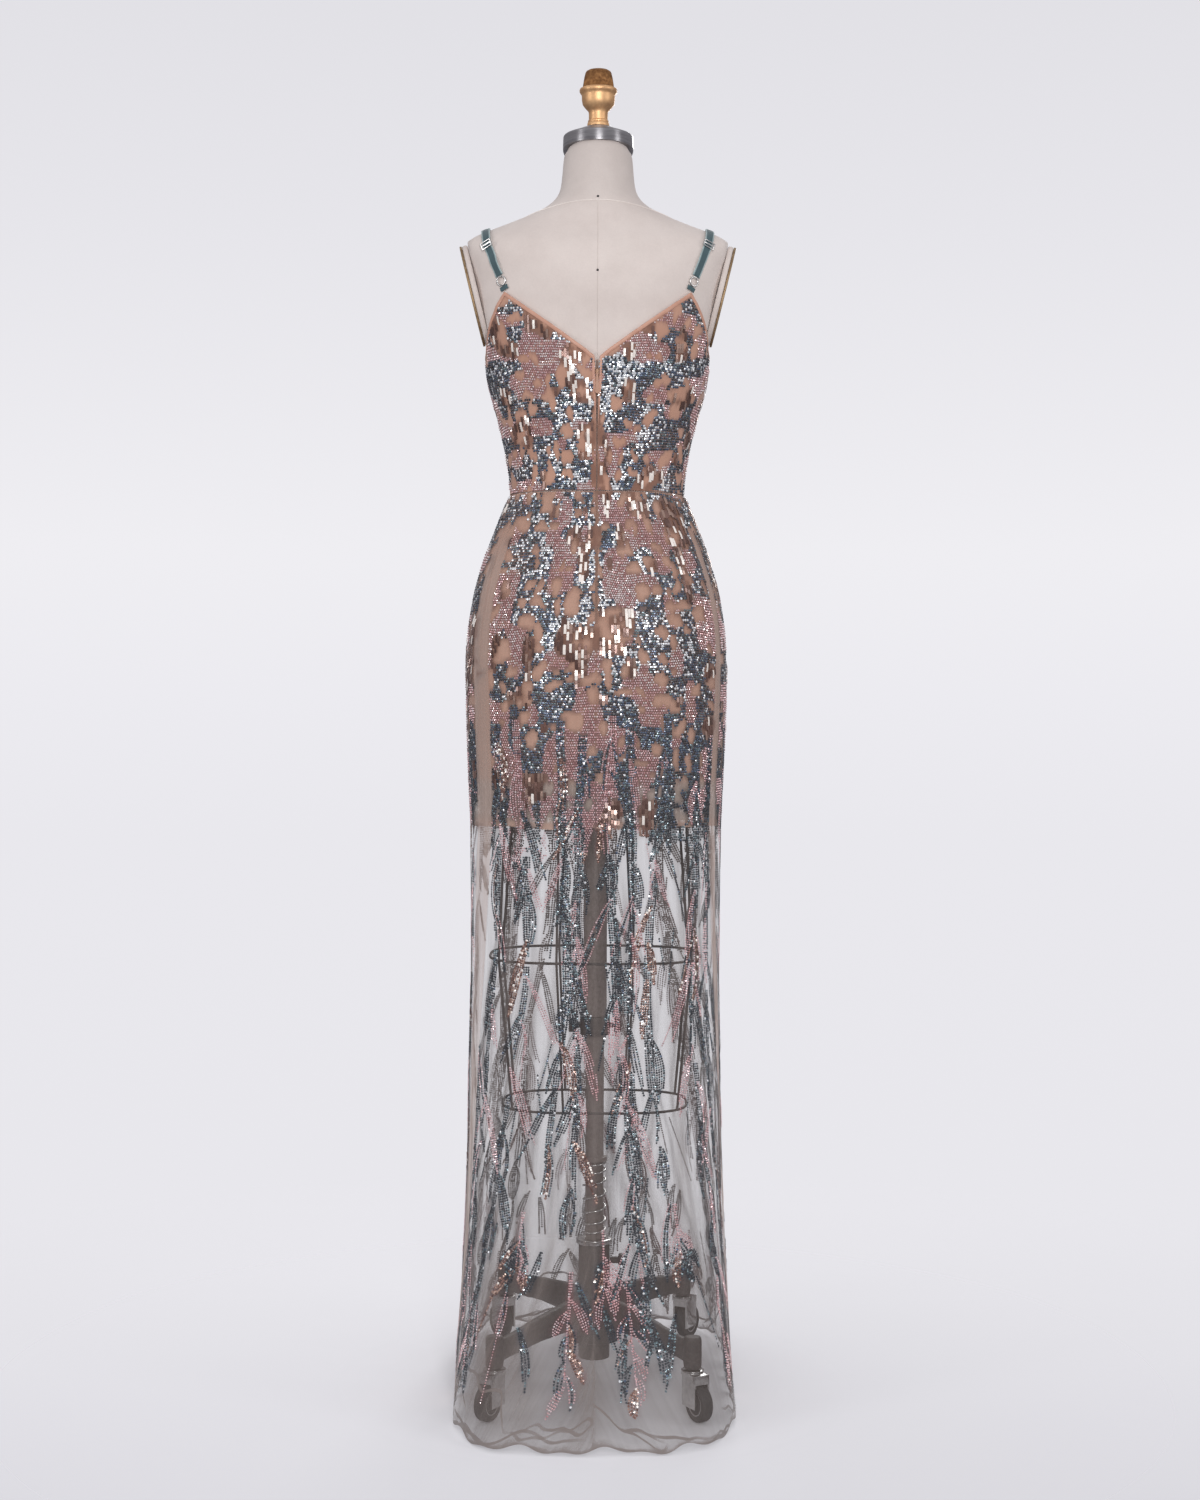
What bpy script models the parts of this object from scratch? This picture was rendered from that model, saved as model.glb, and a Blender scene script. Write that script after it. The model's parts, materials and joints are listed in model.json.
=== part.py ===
"""Evening gown with a V back and a small train, on a limbless dress form with a caster base.

Metres, +Z up. The gown's back faces -Y and the wearer's right side is at +X.
The origin lies on the floor, in the middle of the space that the object takes.
The form's own upright axis stands FORM_AXIS_Y in front of it, because of the train.
Angles round the form start at the centre back (-Y) and grow towards +X.
"""

import math

import bmesh
import bpy
from mathutils import Matrix, Vector
from mathutils.bvhtree import BVHTree

# ---------------------------------------------------------------- driving sizes

FORM_AXIS_Y = 0.0304          # the pole's place on the floor
SEAM_GAP = 0.0003             # clearance where two pieces meet
COLUMNS = 48                  # facets round the gown
FORM_COLUMNS = 36             # facets round the torso, inside the gown's

WAIST_Z = 1.2150
BODICE_FOOT_Z = WAIST_Z + 0.0003         # both walls lean out from the waist, so their inner edges
SKIRT_TOP_Z = WAIST_Z - 0.0006           # part a little wider than their outer ones
LINING_HEM_Z = 0.7650
TORSO_FOOT_Z = 0.8250

CLOTH = 0.0012                # wall of the tulle and of the bodice
LINING = 0.0010               # wall of the skirt lining
TORSO_TO_GOWN = 0.0029        # the form's skin to the inner face of the skirt
LINING_INSET = 0.0014         # the lining's inner face, inside the skirt's

V_BACK_Z = 1.3880             # lowest point of the back neckline
TIP_X = 0.1245                # the neckline's tips, where the straps start
TIP_Z = 1.4780
UNDERARM_Z = 1.3980
FRONT_TIP_X = 0.1130
FRONT_TIP_Z = 1.4680
V_FRONT_Z = 1.3700
BINDING_WIDTH = 0.0070
BINDING_WALL = 0.0010
BODICE_ROWS = 9               # spans from the waist seam to the upper edge

STRAP_WIDTH = 0.0120
STRAP_WALL = 0.0012
RING_R = 0.0062
RING_WIRE_R = 0.0011
LOOP_LENGTH = 0.0060
SLIDER_SIZE = (0.0170, 0.0100, 0.0014)
SLIDER_STEP = 5               # the slider's place, counted in the strap's samples from the ring

ZIP_HALF = 0.0018             # half of the coil's width
ZIP_CHANNEL = 0.0021          # half of the gap between the two panels
ZIP_FOOT_Z = 1.0350
ZIP_SLIDER_Z = 1.3690
ZIP_SLIDER_HALF = (0.0026, 0.0045)       # half width, half height
ZIP_SLIDER_WALL = 0.0021
ZIP_SLIDER_BEVEL = 0.0006
PULL_LENGTH = 0.0270
PULL_WIDTH = 0.0062
PULL_WALL = 0.0012
PULL_NECK_HALF = 0.0014
PULL_NECK_FOOT = -0.0030
PULL_HEAD = 0.0005            # above its hinge: short enough to turn clear of the slider
PULL_HINGE_DROP = 0.0020      # the hinge's place below the slider's middle

ARM_PLATE_TOP = (0.1890, 1.5535)
ARM_PLATE_FOOT = (0.1560, 1.4180)
ARM_PLATE_HALF_DEPTH = 0.0520
ARM_PLATE_WALL = 0.0080
ARM_RIM_WALL = 0.0030
ARM_RIM_WIDTH = 0.0035

CAGE_UPPER = (0.5850, 0.1440, 0.1130)    # height, half width, half depth
CAGE_LOWER = (0.3820, 0.1260, 0.0930)
CAGE_WIRE_R = 0.0018
CAGE_WIRE_INSET = 0.0200      # inside the torso's foot edge
CAGE_BEND = 0.12              # share of the way from the lower ring to the upper, where a wire bends
CAGE_SIDES = 28
CAGE_CORNERS = (2, 5, 9, 12, 16, 19, 23, 26)  # the ring corners where a wire stands

POLE_R = 0.0160
SLIDING_POLE_R = 0.0125
COLLAR_Z = (0.4750, 0.5000)
COLLAR_R = 0.0205
SCREW_X = (0.0180, 0.0270)    # the two wing screws: their stems, outward from the pole's axis
SCREW_Z = (0.4840, 0.4910)
SCREW_HALF = 0.0035
WING_X = (0.0265, 0.0355)
WING_Z = (0.4780, 0.4970)
WING_HALF = 0.0020
LOWER_TUBE_R = 0.0215
LOWER_TUBE_Z = (0.0280, 0.1860)
TUBE_RING_TOP_Z = 0.1930
TUBE_RING_OUT = 0.0035
TUBE_FLOOR = 0.0040           # the sliding pole's foot above the tube's foot
CLAMP_Z = 0.1620
CLAMP_STEM_X = 0.0340
CLAMP_STEM_HALF = 0.0040
CLAMP_HEAD_X = (0.0335, 0.0400)
CLAMP_HEAD_HALF = 0.0085
CLAMP_BEVEL = 0.0020
SPRING_R = 0.0151
SPRING_WIRE_R = 0.0014
SPRING_TURNS = 7
SPRING_TOP_Z = 0.3000
STOP_RING_R = 0.0170
STOP_RING_TOP_Z = 0.3060

KNOB_X = 0.1290
KNOB_Y = 0.1840
KNOB_Z = (0.0650, 0.1080)
KNOB_R = 0.0125
HUB_R = 0.0360
HUB_Z = (0.0520, 0.1230)
# share of the way from the hub to the knob, middle height, half height, half width
LEG = (
    (0.00, 0.0960, 0.0245, 0.0150),
    (0.25, 0.0965, 0.0210, 0.0135),
    (0.50, 0.0945, 0.0180, 0.0120),
    (0.75, 0.0890, 0.0165, 0.0110),
    (1.00, 0.0855, 0.0155, 0.0100),
)
LEG_SIDES = 8
WHEEL_R = 0.0240
WHEEL_HALF_WIDTH = 0.0085
WHEEL_TRAIL = 0.0160
WHEEL_SIDES = 20
LEG_ROOT_R = 0.0300           # where a leg starts, inside the hub
CORNERS = ((-1, -1), (1, -1), (1, 1), (-1, 1))
SWIVEL_PLATE_R = 0.0150
SWIVEL_PLATE_WALL = 0.0060
FORK_WALL = 0.0025
FORK_X = (-0.0080, 0.0230)    # from the swivel's axis towards the wheel's
FORK_BELOW_AXLE = 0.0060
FORK_UNDER_PLATE = 0.0030
BRIDGE_CLEAR = 0.0015         # between the fork's bridge and the tread
CASTER_TURN = (-120.0, -60.0, 60.0, 120.0)  # where each wheel trails, in degrees from +X

# ---------------------------------------------------------------- section tables

# height, half width, depth to the back, depth to the front, squareness, lean to +Y, forward tilt
FORM = (
    (0.825, 0.1570, 0.1240, 0.1040, 2.3, 0.000, 0.0),
    (0.880, 0.1690, 0.1360, 0.1100, 2.3, 0.000, 0.0),
    (0.935, 0.1738, 0.1430, 0.1130, 2.3, 0.000, 0.0),
    (0.985, 0.1742, 0.1440, 0.1150, 2.3, 0.000, 0.0),
    (1.035, 0.1712, 0.1380, 0.1170, 2.3, 0.000, 0.0),
    (1.085, 0.1630, 0.1240, 0.1160, 2.3, 0.000, 0.0),
    (1.130, 0.1495, 0.1060, 0.1110, 2.3, 0.000, 0.0),
    (1.175, 0.1315, 0.0910, 0.1020, 2.3, 0.000, 0.0),
    (1.215, 0.1150, 0.0830, 0.0950, 2.2, 0.000, 0.0),
    (1.260, 0.1195, 0.0870, 0.1000, 2.2, 0.000, 0.0),
    (1.310, 0.1300, 0.0960, 0.1120, 2.2, 0.000, 0.0),
    (1.360, 0.1440, 0.1060, 0.1330, 2.2, 0.000, 0.0),
    (1.400, 0.1520, 0.1110, 0.1450, 2.2, 0.000, 0.0),
    (1.440, 0.1590, 0.1130, 0.1400, 2.2, 0.000, 0.0),
    (1.480, 0.1680, 0.1110, 0.1230, 2.3, 0.000, 0.0),
    (1.520, 0.1790, 0.1010, 0.1020, 2.4, -0.002, 0.0),
    (1.545, 0.1860, 0.0880, 0.0850, 2.5, -0.003, 0.0),
    (1.556, 0.1840, 0.0800, 0.0770, 2.4, -0.003, 0.0),
    (1.566, 0.1705, 0.0725, 0.0705, 2.2, -0.002, 0.0),
    (1.577, 0.1420, 0.0680, 0.0660, 2.0, 0.000, 1.0),
    (1.589, 0.1100, 0.0640, 0.0630, 1.9, 0.002, 3.0),
    (1.601, 0.0800, 0.0610, 0.0610, 1.9, 0.004, 5.0),
    (1.614, 0.0600, 0.0580, 0.0590, 2.0, 0.006, 7.0),
    (1.629, 0.0522, 0.0550, 0.0560, 2.0, 0.009, 9.0),
    (1.660, 0.0495, 0.0500, 0.0510, 2.0, 0.014, 13.0),
    (1.689, 0.0478, 0.0478, 0.0478, 2.0, 0.018, 16.0),
)

# height, half width, reach to the back, reach to the front, squareness: the skirt below the hips
HANG = (
    (0.000, 0.1840, 0.3360, 0.2720, 4.6),
    (0.045, 0.1830, 0.3020, 0.2660, 4.3),
    (0.095, 0.1806, 0.2680, 0.2560, 3.9),
    (0.160, 0.1780, 0.2340, 0.2380, 3.5),
    (0.240, 0.1752, 0.2040, 0.2120, 3.1),
    (0.340, 0.1726, 0.1810, 0.1800, 2.8),
    (0.450, 0.1706, 0.1670, 0.1560, 2.6),
    (0.600, 0.1686, 0.1540, 0.1350, 2.4),
    (0.765, 0.1700, 0.1470, 0.1200, 2.3),
    (0.825, 0.1728, 0.1460, 0.1170, 2.3),
    (0.880, 0.1752, 0.1462, 0.1158, 2.3),
)

# angle, half spread, rise, top height, foot height: soft ridges where the tulle hangs or is eased in
FOLDS = (
    (17.0, 10.0, 0.0040, 0.76, -0.05),
    (34.0, 9.0, 0.0055, 0.66, -0.05),
    (52.0, 10.0, 0.0035, 0.80, 0.05),
    (70.0, 9.0, 0.0050, 0.74, -0.05),
    (88.0, 8.0, 0.0025, 0.60, -0.05),
    (107.0, 10.0, 0.0050, 0.70, -0.05),
    (129.0, 11.0, 0.0060, 0.78, -0.05),
    (152.0, 10.0, 0.0045, 0.62, -0.05),
    (172.0, 9.0, 0.0055, 0.72, -0.05),
    (195.0, 11.0, 0.0050, 0.66, -0.05),
    (221.0, 10.0, 0.0060, 0.76, -0.05),
    (246.0, 10.0, 0.0040, 0.70, -0.05),
    (268.0, 8.0, 0.0030, 0.64, -0.05),
    (287.0, 9.0, 0.0050, 0.78, -0.05),
    (305.0, 9.0, 0.0045, 0.70, 0.03),
    (325.0, 10.0, 0.0055, 0.74, -0.05),
    (343.0, 9.0, 0.0035, 0.60, -0.05),
    (15.0, 9.0, 0.0022, 1.22, 1.04),
    (36.0, 9.0, 0.0030, 1.22, 0.98),
    (58.0, 9.0, 0.0022, 1.22, 1.05),
    (143.0, 10.0, 0.0022, 1.22, 1.06),
    (217.0, 10.0, 0.0024, 1.22, 1.05),
    (303.0, 9.0, 0.0020, 1.22, 1.07),
    (328.0, 9.0, 0.0026, 1.22, 1.02),
    (346.0, 9.0, 0.0018, 1.22, 1.07),
)

# distance from the axis, height: the finial's turned outline, from its top down
FINIAL = (
    (0.0000, 1.8000),
    (0.0190, 1.7990),
    (0.0232, 1.7965),
    (0.0238, 1.7900),
    (0.0222, 1.7868),
    (0.0222, 1.7745),
    (0.0258, 1.7728),
    (0.0264, 1.7650),
    (0.0246, 1.7600),
    (0.0236, 1.7520),
    (0.0150, 1.7455),
    (0.0145, 1.7290),
    (0.0182, 1.7265),
    (0.0182, 1.7219),
    (0.0000, 1.7219),
)

# height, radius, forward tilt: the neck cap, from its rim up
NECK_CAP = (
    (1.6894, 0.0482, 16.0),
    (1.7120, 0.0474, 7.0),
    (1.7180, 0.0440, 3.0),
    (1.7216, 0.0340, 0.0),
)
NECK_CAP_Y = 0.018

# the right strap's way over the shoulder, from the back ring to the front neckline: its distance
# from the middle, the side it is seen from, and its height there (its depth, seen from the top)
STRAP_ROUTE = (
    (0.1305, "back", 1.5005),
    (0.1385, "back", 1.5210),
    (0.1456, "back", 1.5400),
    (0.1498, "back", 1.5570),
    (0.1512, "top", -0.0250),
    (0.1512, "top", 0.0150),
    (0.1490, "front", 1.5560),
    (0.1400, "front", 1.5220),
    (0.1260, "front", 1.4910),
    (0.1135, "front", 1.4695),
)
STRAP_OUT = 0.0009            # the strap's clearance over the form

# ---------------------------------------------------------------- scene and materials


def clear_scene():
    for item in list(bpy.data.objects):
        bpy.data.objects.remove(item)


def material(name, red, green, blue, roughness, metallic=0.0):
    made = bpy.data.materials.new(name)
    made.use_nodes = True
    shader = made.node_tree.nodes["Principled BSDF"]
    shader.inputs["Base Color"].default_value = (red, green, blue, 1.0)
    shader.inputs["Roughness"].default_value = roughness
    shader.inputs["Metallic"].default_value = metallic
    return made


clear_scene()
PARTS = bpy.data.collections.new("evening_gown_on_dress_form")
CUTTERS = bpy.data.collections.new("cutters")
bpy.context.scene.collection.children.link(PARTS)
bpy.context.scene.collection.children.link(CUTTERS)

STAND_EMPTY = bpy.data.objects.new("form_axis", None)
STAND_EMPTY.location = (0.0, FORM_AXIS_Y, 0.0)
PARTS.objects.link(STAND_EMPTY)

TULLE = material("embroidered_tulle", 0.22, 0.17, 0.17, 0.45)
NUDE = material("nude_lining", 0.46, 0.27, 0.19, 0.55)
BINDING = material("peach_binding", 0.62, 0.36, 0.24, 0.60)
VELVET = material("teal_velvet", 0.07, 0.13, 0.14, 0.80)
SILVER = material("silver_findings", 0.75, 0.74, 0.72, 0.25, 1.0)
LINEN = material("form_linen", 0.62, 0.57, 0.51, 0.90)
BRASS = material("finial_brass", 0.55, 0.38, 0.15, 0.35, 1.0)
STEEL = material("neck_cap_steel", 0.22, 0.22, 0.22, 0.35, 1.0)
IRON = material("stand_iron", 0.09, 0.09, 0.085, 0.60, 0.3)
TYRE = material("caster_tyre", 0.05, 0.05, 0.05, 0.70)
COIL = material("zip_coil", 0.20, 0.12, 0.09, 0.60)


def node(name, mesh, look, smooth=True, group=None, parent=None, location=(0, 0, 0)):
    """One named solid, placed by its location under the form's axis or another parent."""
    made = bpy.data.objects.new(name, mesh)
    made.location = location
    made.parent = parent or STAND_EMPTY
    (group or PARTS).objects.link(made)
    if mesh.materials:
        mesh.materials.clear()
    mesh.materials.append(look)
    if smooth and hasattr(mesh, "shade_smooth"):
        mesh.shade_smooth()
        mesh.set_sharp_from_angle(angle=math.radians(35))
    return made


def mesh_of(name, points, faces):
    made = bpy.data.meshes.new(name)
    made.from_pydata([tuple(p) for p in points], [], faces)
    made.update()
    return made


# ---------------------------------------------------------------- shapes worked out from the tables


def spread(low, high, steps):
    return [low + (high - low) * k / steps for k in range(steps + 1)]


def at_height(table, height):
    """A section table read at a height, with a smooth cubic step between its rows."""
    rows = [row for row in table]
    height = min(max(height, rows[0][0]), rows[-1][0])
    k = 0
    while k < len(rows) - 2 and height > rows[k + 1][0]:
        k += 1
    low, high = rows[k], rows[k + 1]
    before, after = rows[max(k - 1, 0)], rows[min(k + 2, len(rows) - 1)]
    span = high[0] - low[0]
    t = (height - low[0]) / span
    read = []
    for i in range(1, len(low)):
        slope_low = (high[i] - before[i]) / (high[0] - before[0]) * span
        slope_high = (after[i] - low[i]) / (after[0] - low[0]) * span
        read.append(
            (2 * t**3 - 3 * t**2 + 1) * low[i]
            + (t**3 - 2 * t**2 + t) * slope_low
            + (3 * t**2 - 2 * t**3) * high[i]
            + (t**3 - t**2) * slope_high
        )
    return read


def section_point(half_width, back, front, power, angle, height, lean=0.0, tilt=0.0):
    """The point of a rounded section at an angle from the centre back."""
    across, along = math.sin(angle), -math.cos(angle)
    depth = back if along < 0 else front
    reach = ((abs(across) / half_width) ** power + (abs(along) / depth) ** power) ** (-1 / power)
    drop = reach * along * math.tan(math.radians(tilt))
    return Vector((reach * across, lean + reach * along, height - drop))


def form_point(angle, height, out=0.0):
    half_width, back, front, power, lean, tilt = at_height(FORM, height)
    return section_point(half_width + out, back + out, front + out, power, angle, height, lean, tilt)


def skirt_table():
    """The hanging skirt's rows, carried on over the hips by the form's own rows."""
    over_hips = []
    for row in FORM:
        if 0.9 < row[0] < 1.25:
            grown = [size + TORSO_TO_GOWN for size in row[1:4]]
            over_hips.append((row[0], *grown, row[4]))
    return HANG + tuple(over_hips)


SKIRT = skirt_table()


def fold_rise(angle, height):
    """How far the folds push the cloth out at an angle and a height."""
    degrees = math.degrees(angle) % 360
    rise = 0.0
    for middle, spread, most, top, foot in FOLDS:
        off = abs((degrees - middle + 180) % 360 - 180)
        if off >= spread or not foot < height < top:
            continue
        across = 0.5 + 0.5 * math.cos(math.pi * off / spread)
        length = top - foot
        upper = min(1.0, (top - height) / (0.45 * length))
        lower = min(1.0, (height - foot) / (0.12 * length))
        rise += most * across * min(upper, lower)
    return rise


def skirt_point(angle, height, out=0.0, folded=True):
    half_width, back, front, power = at_height(SKIRT, height)
    push = out + (fold_rise(angle, height) if folded else 0.0)
    return section_point(half_width + push, back + push, front + push, power, angle, height)


def bodice_point(angle, height, out=0.0):
    return form_point(angle, height, TORSO_TO_GOWN + out)


# ---------------------------------------------------------------- mesh makers


def grid_faces(columns, rows, closed=False):
    """Quads between neighbouring columns, each column holding its rows from low to high."""
    faces = []
    for c in range(columns if closed else columns - 1):
        d = (c + 1) % columns
        for r in range(rows - 1):
            faces.append((c * rows + r, d * rows + r, d * rows + r + 1, c * rows + r + 1))
    return faces


def cloth(name, columns, wall, look):
    """An open sheet of cloth columns, given its wall outwards by Solidify."""
    rows = len(columns[0])
    points = [p for column in columns for p in column]
    made = node(name, mesh_of(name, points, grid_faces(len(columns), rows)), look)
    thick = made.modifiers.new("wall", "SOLIDIFY")
    thick.thickness = wall
    thick.offset = 1.0
    thick.use_even_offset = False
    return made


def loft(name, rings, look, smooth=True):
    """A closed solid through rings of equal point counts, from low to high."""
    count = len(rings[0])
    points = [p for ring in rings for p in ring]
    faces = []
    for k in range(len(rings) - 1):
        for i in range(count):
            j = (i + 1) % count
            low, high = k * count, (k + 1) * count
            faces.append((low + i, low + j, high + j, high + i))
    faces.append(tuple(reversed(range(count))))
    faces.append(tuple(range((len(rings) - 1) * count, len(rings) * count)))
    return node(name, mesh_of(name, points, faces), look, smooth)


def turned(name, outline, look, sides, location=(0, 0, 0), parent=None):
    """A turned solid: an outline from top to bottom at +X, spun by a Screw modifier."""
    points = [(radius, 0.0, height) for radius, height in outline]
    made = bpy.data.meshes.new(name)
    made.from_pydata(points, [(i, i + 1) for i in range(len(points) - 1)], [])
    item = node(name, made, look, smooth=False, location=location, parent=parent)
    spin = item.modifiers.new("spin", "SCREW")
    spin.steps = sides
    spin.render_steps = sides
    spin.use_merge_vertices = True
    spin.merge_threshold = 0.00001
    spin.use_smooth_shade = True
    return item


def closed_outline(bottom, top, radius, bore=0.0):
    """The outline of a plain round bar, or of a tube if it has a bore."""
    if bore:
        return ((bore, top), (radius, top), (radius, bottom), (bore, bottom), (bore, top))
    return ((0.0, top), (radius, top), (radius, bottom), (0.0, bottom))


def wire(name, points, radius, look, cyclic=False, resolution=1, location=(0, 0, 0)):
    """A round wire along points, as a curve with a bevel and filled ends."""
    line = bpy.data.curves.new(name, "CURVE")
    line.dimensions = "3D"
    line.bevel_depth = radius
    line.bevel_resolution = resolution
    line.use_fill_caps = not cyclic
    line.render_resolution_u = 0
    spline = line.splines.new("POLY")
    spline.points.add(len(points) - 1)
    for place, point in zip(spline.points, points):
        place.co = (*point, 1.0)
    spline.use_cyclic_u = cyclic
    return node(name, line, look, smooth=False, location=location)


def as_mesh(item):
    """A curve or a modified object made a plain welded mesh, in place."""
    bpy.context.view_layer.update()
    evaluated = item.evaluated_get(bpy.context.evaluated_depsgraph_get())
    plain = bpy.data.meshes.new_from_object(evaluated)
    name, look, place, group = item.name, item.data.materials[0], item.location.copy(), PARTS
    parent = item.parent
    bpy.data.objects.remove(item)
    work = bmesh.new()
    work.from_mesh(plain)
    bmesh.ops.remove_doubles(work, verts=work.verts, dist=0.00001)
    work.to_mesh(plain)
    work.free()
    return node(name, plain, look, group=group, parent=parent, location=place)


def bar(name, x, y, z, look, width=0.0):
    """A box between named limits, with its edges bevelled if a width is given."""
    work = bmesh.new()
    middle = Vector(((x[0] + x[1]) / 2, (y[0] + y[1]) / 2, (z[0] + z[1]) / 2))
    size = Vector((x[1] - x[0], y[1] - y[0], z[1] - z[0]))
    bmesh.ops.create_cube(work, size=1.0, matrix=Matrix.Translation(middle) @ Matrix.Diagonal((*size, 1)))
    made = bpy.data.meshes.new(name)
    work.to_mesh(made)
    work.free()
    item = node(name, made, look, smooth=False)
    if width:
        edge = item.modifiers.new("edge", "BEVEL")
        edge.width = width
        edge.segments = 1
    return item


def combine(item, others, operation):
    """Cuts or joins other solids into item, and takes them out of the model."""
    for other in others:
        for group in list(other.users_collection):
            group.objects.unlink(other)
        CUTTERS.objects.link(other)
        other.hide_render = True
        other.display_type = "WIRE"
        change = item.modifiers.new(operation.lower(), "BOOLEAN")
        change.operation = operation
        change.object = other
    return item


# ---------------------------------------------------------------- the dress form


def make_torso():
    heights = [row[0] for row in FORM]
    steps = [2 * math.pi * k / FORM_COLUMNS for k in range(FORM_COLUMNS)]
    foot = [form_point(a, TORSO_FOOT_Z, -0.006) for a in steps]
    shoulder_in = [form_point(a, TORSO_FOOT_Z + 0.004, 0.0) for a in steps]
    rings = [foot, shoulder_in] + [[form_point(a, z) for a in steps] for z in heights[1:]]
    return loft("torso", rings, LINEN)


def arm_frame(side):
    """The middle of an arm plate's outer face, its outward normal and its upward direction."""
    top = Vector((side * ARM_PLATE_TOP[0], 0.0, ARM_PLATE_TOP[1]))
    foot = Vector((side * ARM_PLATE_FOOT[0], 0.0, ARM_PLATE_FOOT[1]))
    up = (top - foot).normalized()
    across = Vector((0.0, 1.0, 0.0))
    normal = across.cross(up) * side
    return (top + foot) / 2, normal.normalized(), up, (top - foot).length / 2


def oval_slab(name, side, depth_out, depth_in, grow, look, sides=24):
    """An oval slab parallel to an arm plate, between two depths inside its outer face."""
    middle, normal, up, half_height = arm_frame(side)
    across = up.cross(normal)
    rings = []
    for depth in (depth_in, depth_out):
        centre = middle - normal * depth
        rings.append([
            centre
            + up * (half_height + grow) * math.cos(2 * math.pi * k / sides)
            + across * (ARM_PLATE_HALF_DEPTH + grow) * math.sin(2 * math.pi * k / sides)
            for k in range(sides)
        ])
    made = loft(name, rings, look)
    work = bmesh.new()
    work.from_mesh(made.data)
    bmesh.ops.recalc_face_normals(work, faces=work.faces)
    work.to_mesh(made.data)
    work.free()
    return made


def make_arm_plates(torso):
    """A padded oval plate in each armhole, with a thin metal rim outside it."""
    whole = ARM_PLATE_WALL + ARM_RIM_WALL
    for side, word in ((-1, "left"), (1, "right")):
        cutter = oval_slab(f"cut_arm_{word}", side, -0.060, whole + SEAM_GAP, 0.060, LINEN, 24)
        combine(torso, [cutter], "DIFFERENCE")
        oval_slab(f"arm_plate_{word}", side, ARM_RIM_WALL + SEAM_GAP, whole, 0.0, LINEN)
        rim = oval_slab(f"arm_rim_{word}", side, 0.0, ARM_RIM_WALL, 0.0, BRASS)
        hole = oval_slab(f"cut_rim_{word}", side, -0.010, ARM_RIM_WALL + 0.010, -ARM_RIM_WIDTH, BRASS)
        combine(rim, [hole], "DIFFERENCE")


def make_neck():
    steps = [2 * math.pi * k / 32 for k in range(32)]
    rings = []
    for height, radius, tilt in NECK_CAP:
        rings.append([
            section_point(radius, radius, radius, 2.0, a, height, NECK_CAP_Y, tilt) for a in steps
        ])
    loft("neck_cap", rings, STEEL)
    turned("finial", FINIAL, BRASS, 20, location=(0.0, NECK_CAP_Y, 0.0))


def cage_point(ring, angle, inset=0.0):
    height, half_width, half_depth = ring
    depth = half_depth - inset
    return section_point(half_width - inset, depth, depth, 3.0, angle, height)


def make_cage():
    """Two wire rings and the upright wires that carry them under the torso."""
    for name, ring in (("cage_ring_upper", CAGE_UPPER), ("cage_ring_lower", CAGE_LOWER)):
        turn = [cage_point(ring, 2 * math.pi * k / CAGE_SIDES) for k in range(CAGE_SIDES)]
        wire(name, turn, CAGE_WIRE_R, IRON, cyclic=True)
    inside = 2 * CAGE_WIRE_R + 2 * SEAM_GAP
    for number, corner in enumerate(CAGE_CORNERS, start=1):
        angle = 2 * math.pi * corner / CAGE_SIDES
        top = form_point(angle, TORSO_FOOT_Z, -CAGE_WIRE_INSET)
        top.z = TORSO_FOOT_Z - SEAM_GAP
        beside = cage_point(CAGE_UPPER, angle, inside)
        foot = cage_point(CAGE_LOWER, angle, inside)
        bend = foot.lerp(beside, CAGE_BEND)
        wire(f"cage_wire_{number}", [top, beside, bend, foot], CAGE_WIRE_R, IRON)


def make_pole():
    top = TORSO_FOOT_Z - SEAM_GAP
    turned("pole_upper", closed_outline(COLLAR_Z[1] + SEAM_GAP, top, POLE_R), IRON, 24)
    collar = as_mesh(turned("pole_collar", closed_outline(*COLLAR_Z, COLLAR_R), IRON, 24))
    wings = []
    for side in (-1, 1):
        stem_x = sorted(side * x for x in SCREW_X)
        wing_x = sorted(side * x for x in WING_X)
        wings.append(bar(f"cut_screw_{side}", stem_x, (-SCREW_HALF, SCREW_HALF), SCREW_Z, IRON))
        wings.append(bar(f"cut_wing_{side}", wing_x, (-WING_HALF, WING_HALF), WING_Z, IRON))
    combine(collar, wings, "UNION")
    turned(
        "pole_lower",
        (
            (0.0, COLLAR_Z[0] - SEAM_GAP),
            (SLIDING_POLE_R, COLLAR_Z[0] - SEAM_GAP),
            (SLIDING_POLE_R, STOP_RING_TOP_Z),
            (STOP_RING_R, STOP_RING_TOP_Z),
            (STOP_RING_R, SPRING_TOP_Z + SEAM_GAP),
            (SLIDING_POLE_R, SPRING_TOP_Z + SEAM_GAP),
            (SLIDING_POLE_R, LOWER_TUBE_Z[0] + TUBE_FLOOR),
            (0.0, LOWER_TUBE_Z[0] + TUBE_FLOOR),
        ),
        IRON,
        24,
    )


def make_spring():
    """The buffer spring between the tube's end ring and the pole's stop ring, of round wire."""
    steps = 10
    low = TUBE_RING_TOP_Z + SPRING_WIRE_R + 2 * SEAM_GAP
    high = SPRING_TOP_Z - SPRING_WIRE_R - SEAM_GAP
    points = []
    for k in range(SPRING_TURNS * steps + 1):
        angle = 2 * math.pi * k / steps
        height = low + (high - low) * k / (SPRING_TURNS * steps)
        points.append((SPRING_R * math.cos(angle), SPRING_R * math.sin(angle), height))
    wire("buffer_spring", points, SPRING_WIRE_R, SILVER, resolution=0)


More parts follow.
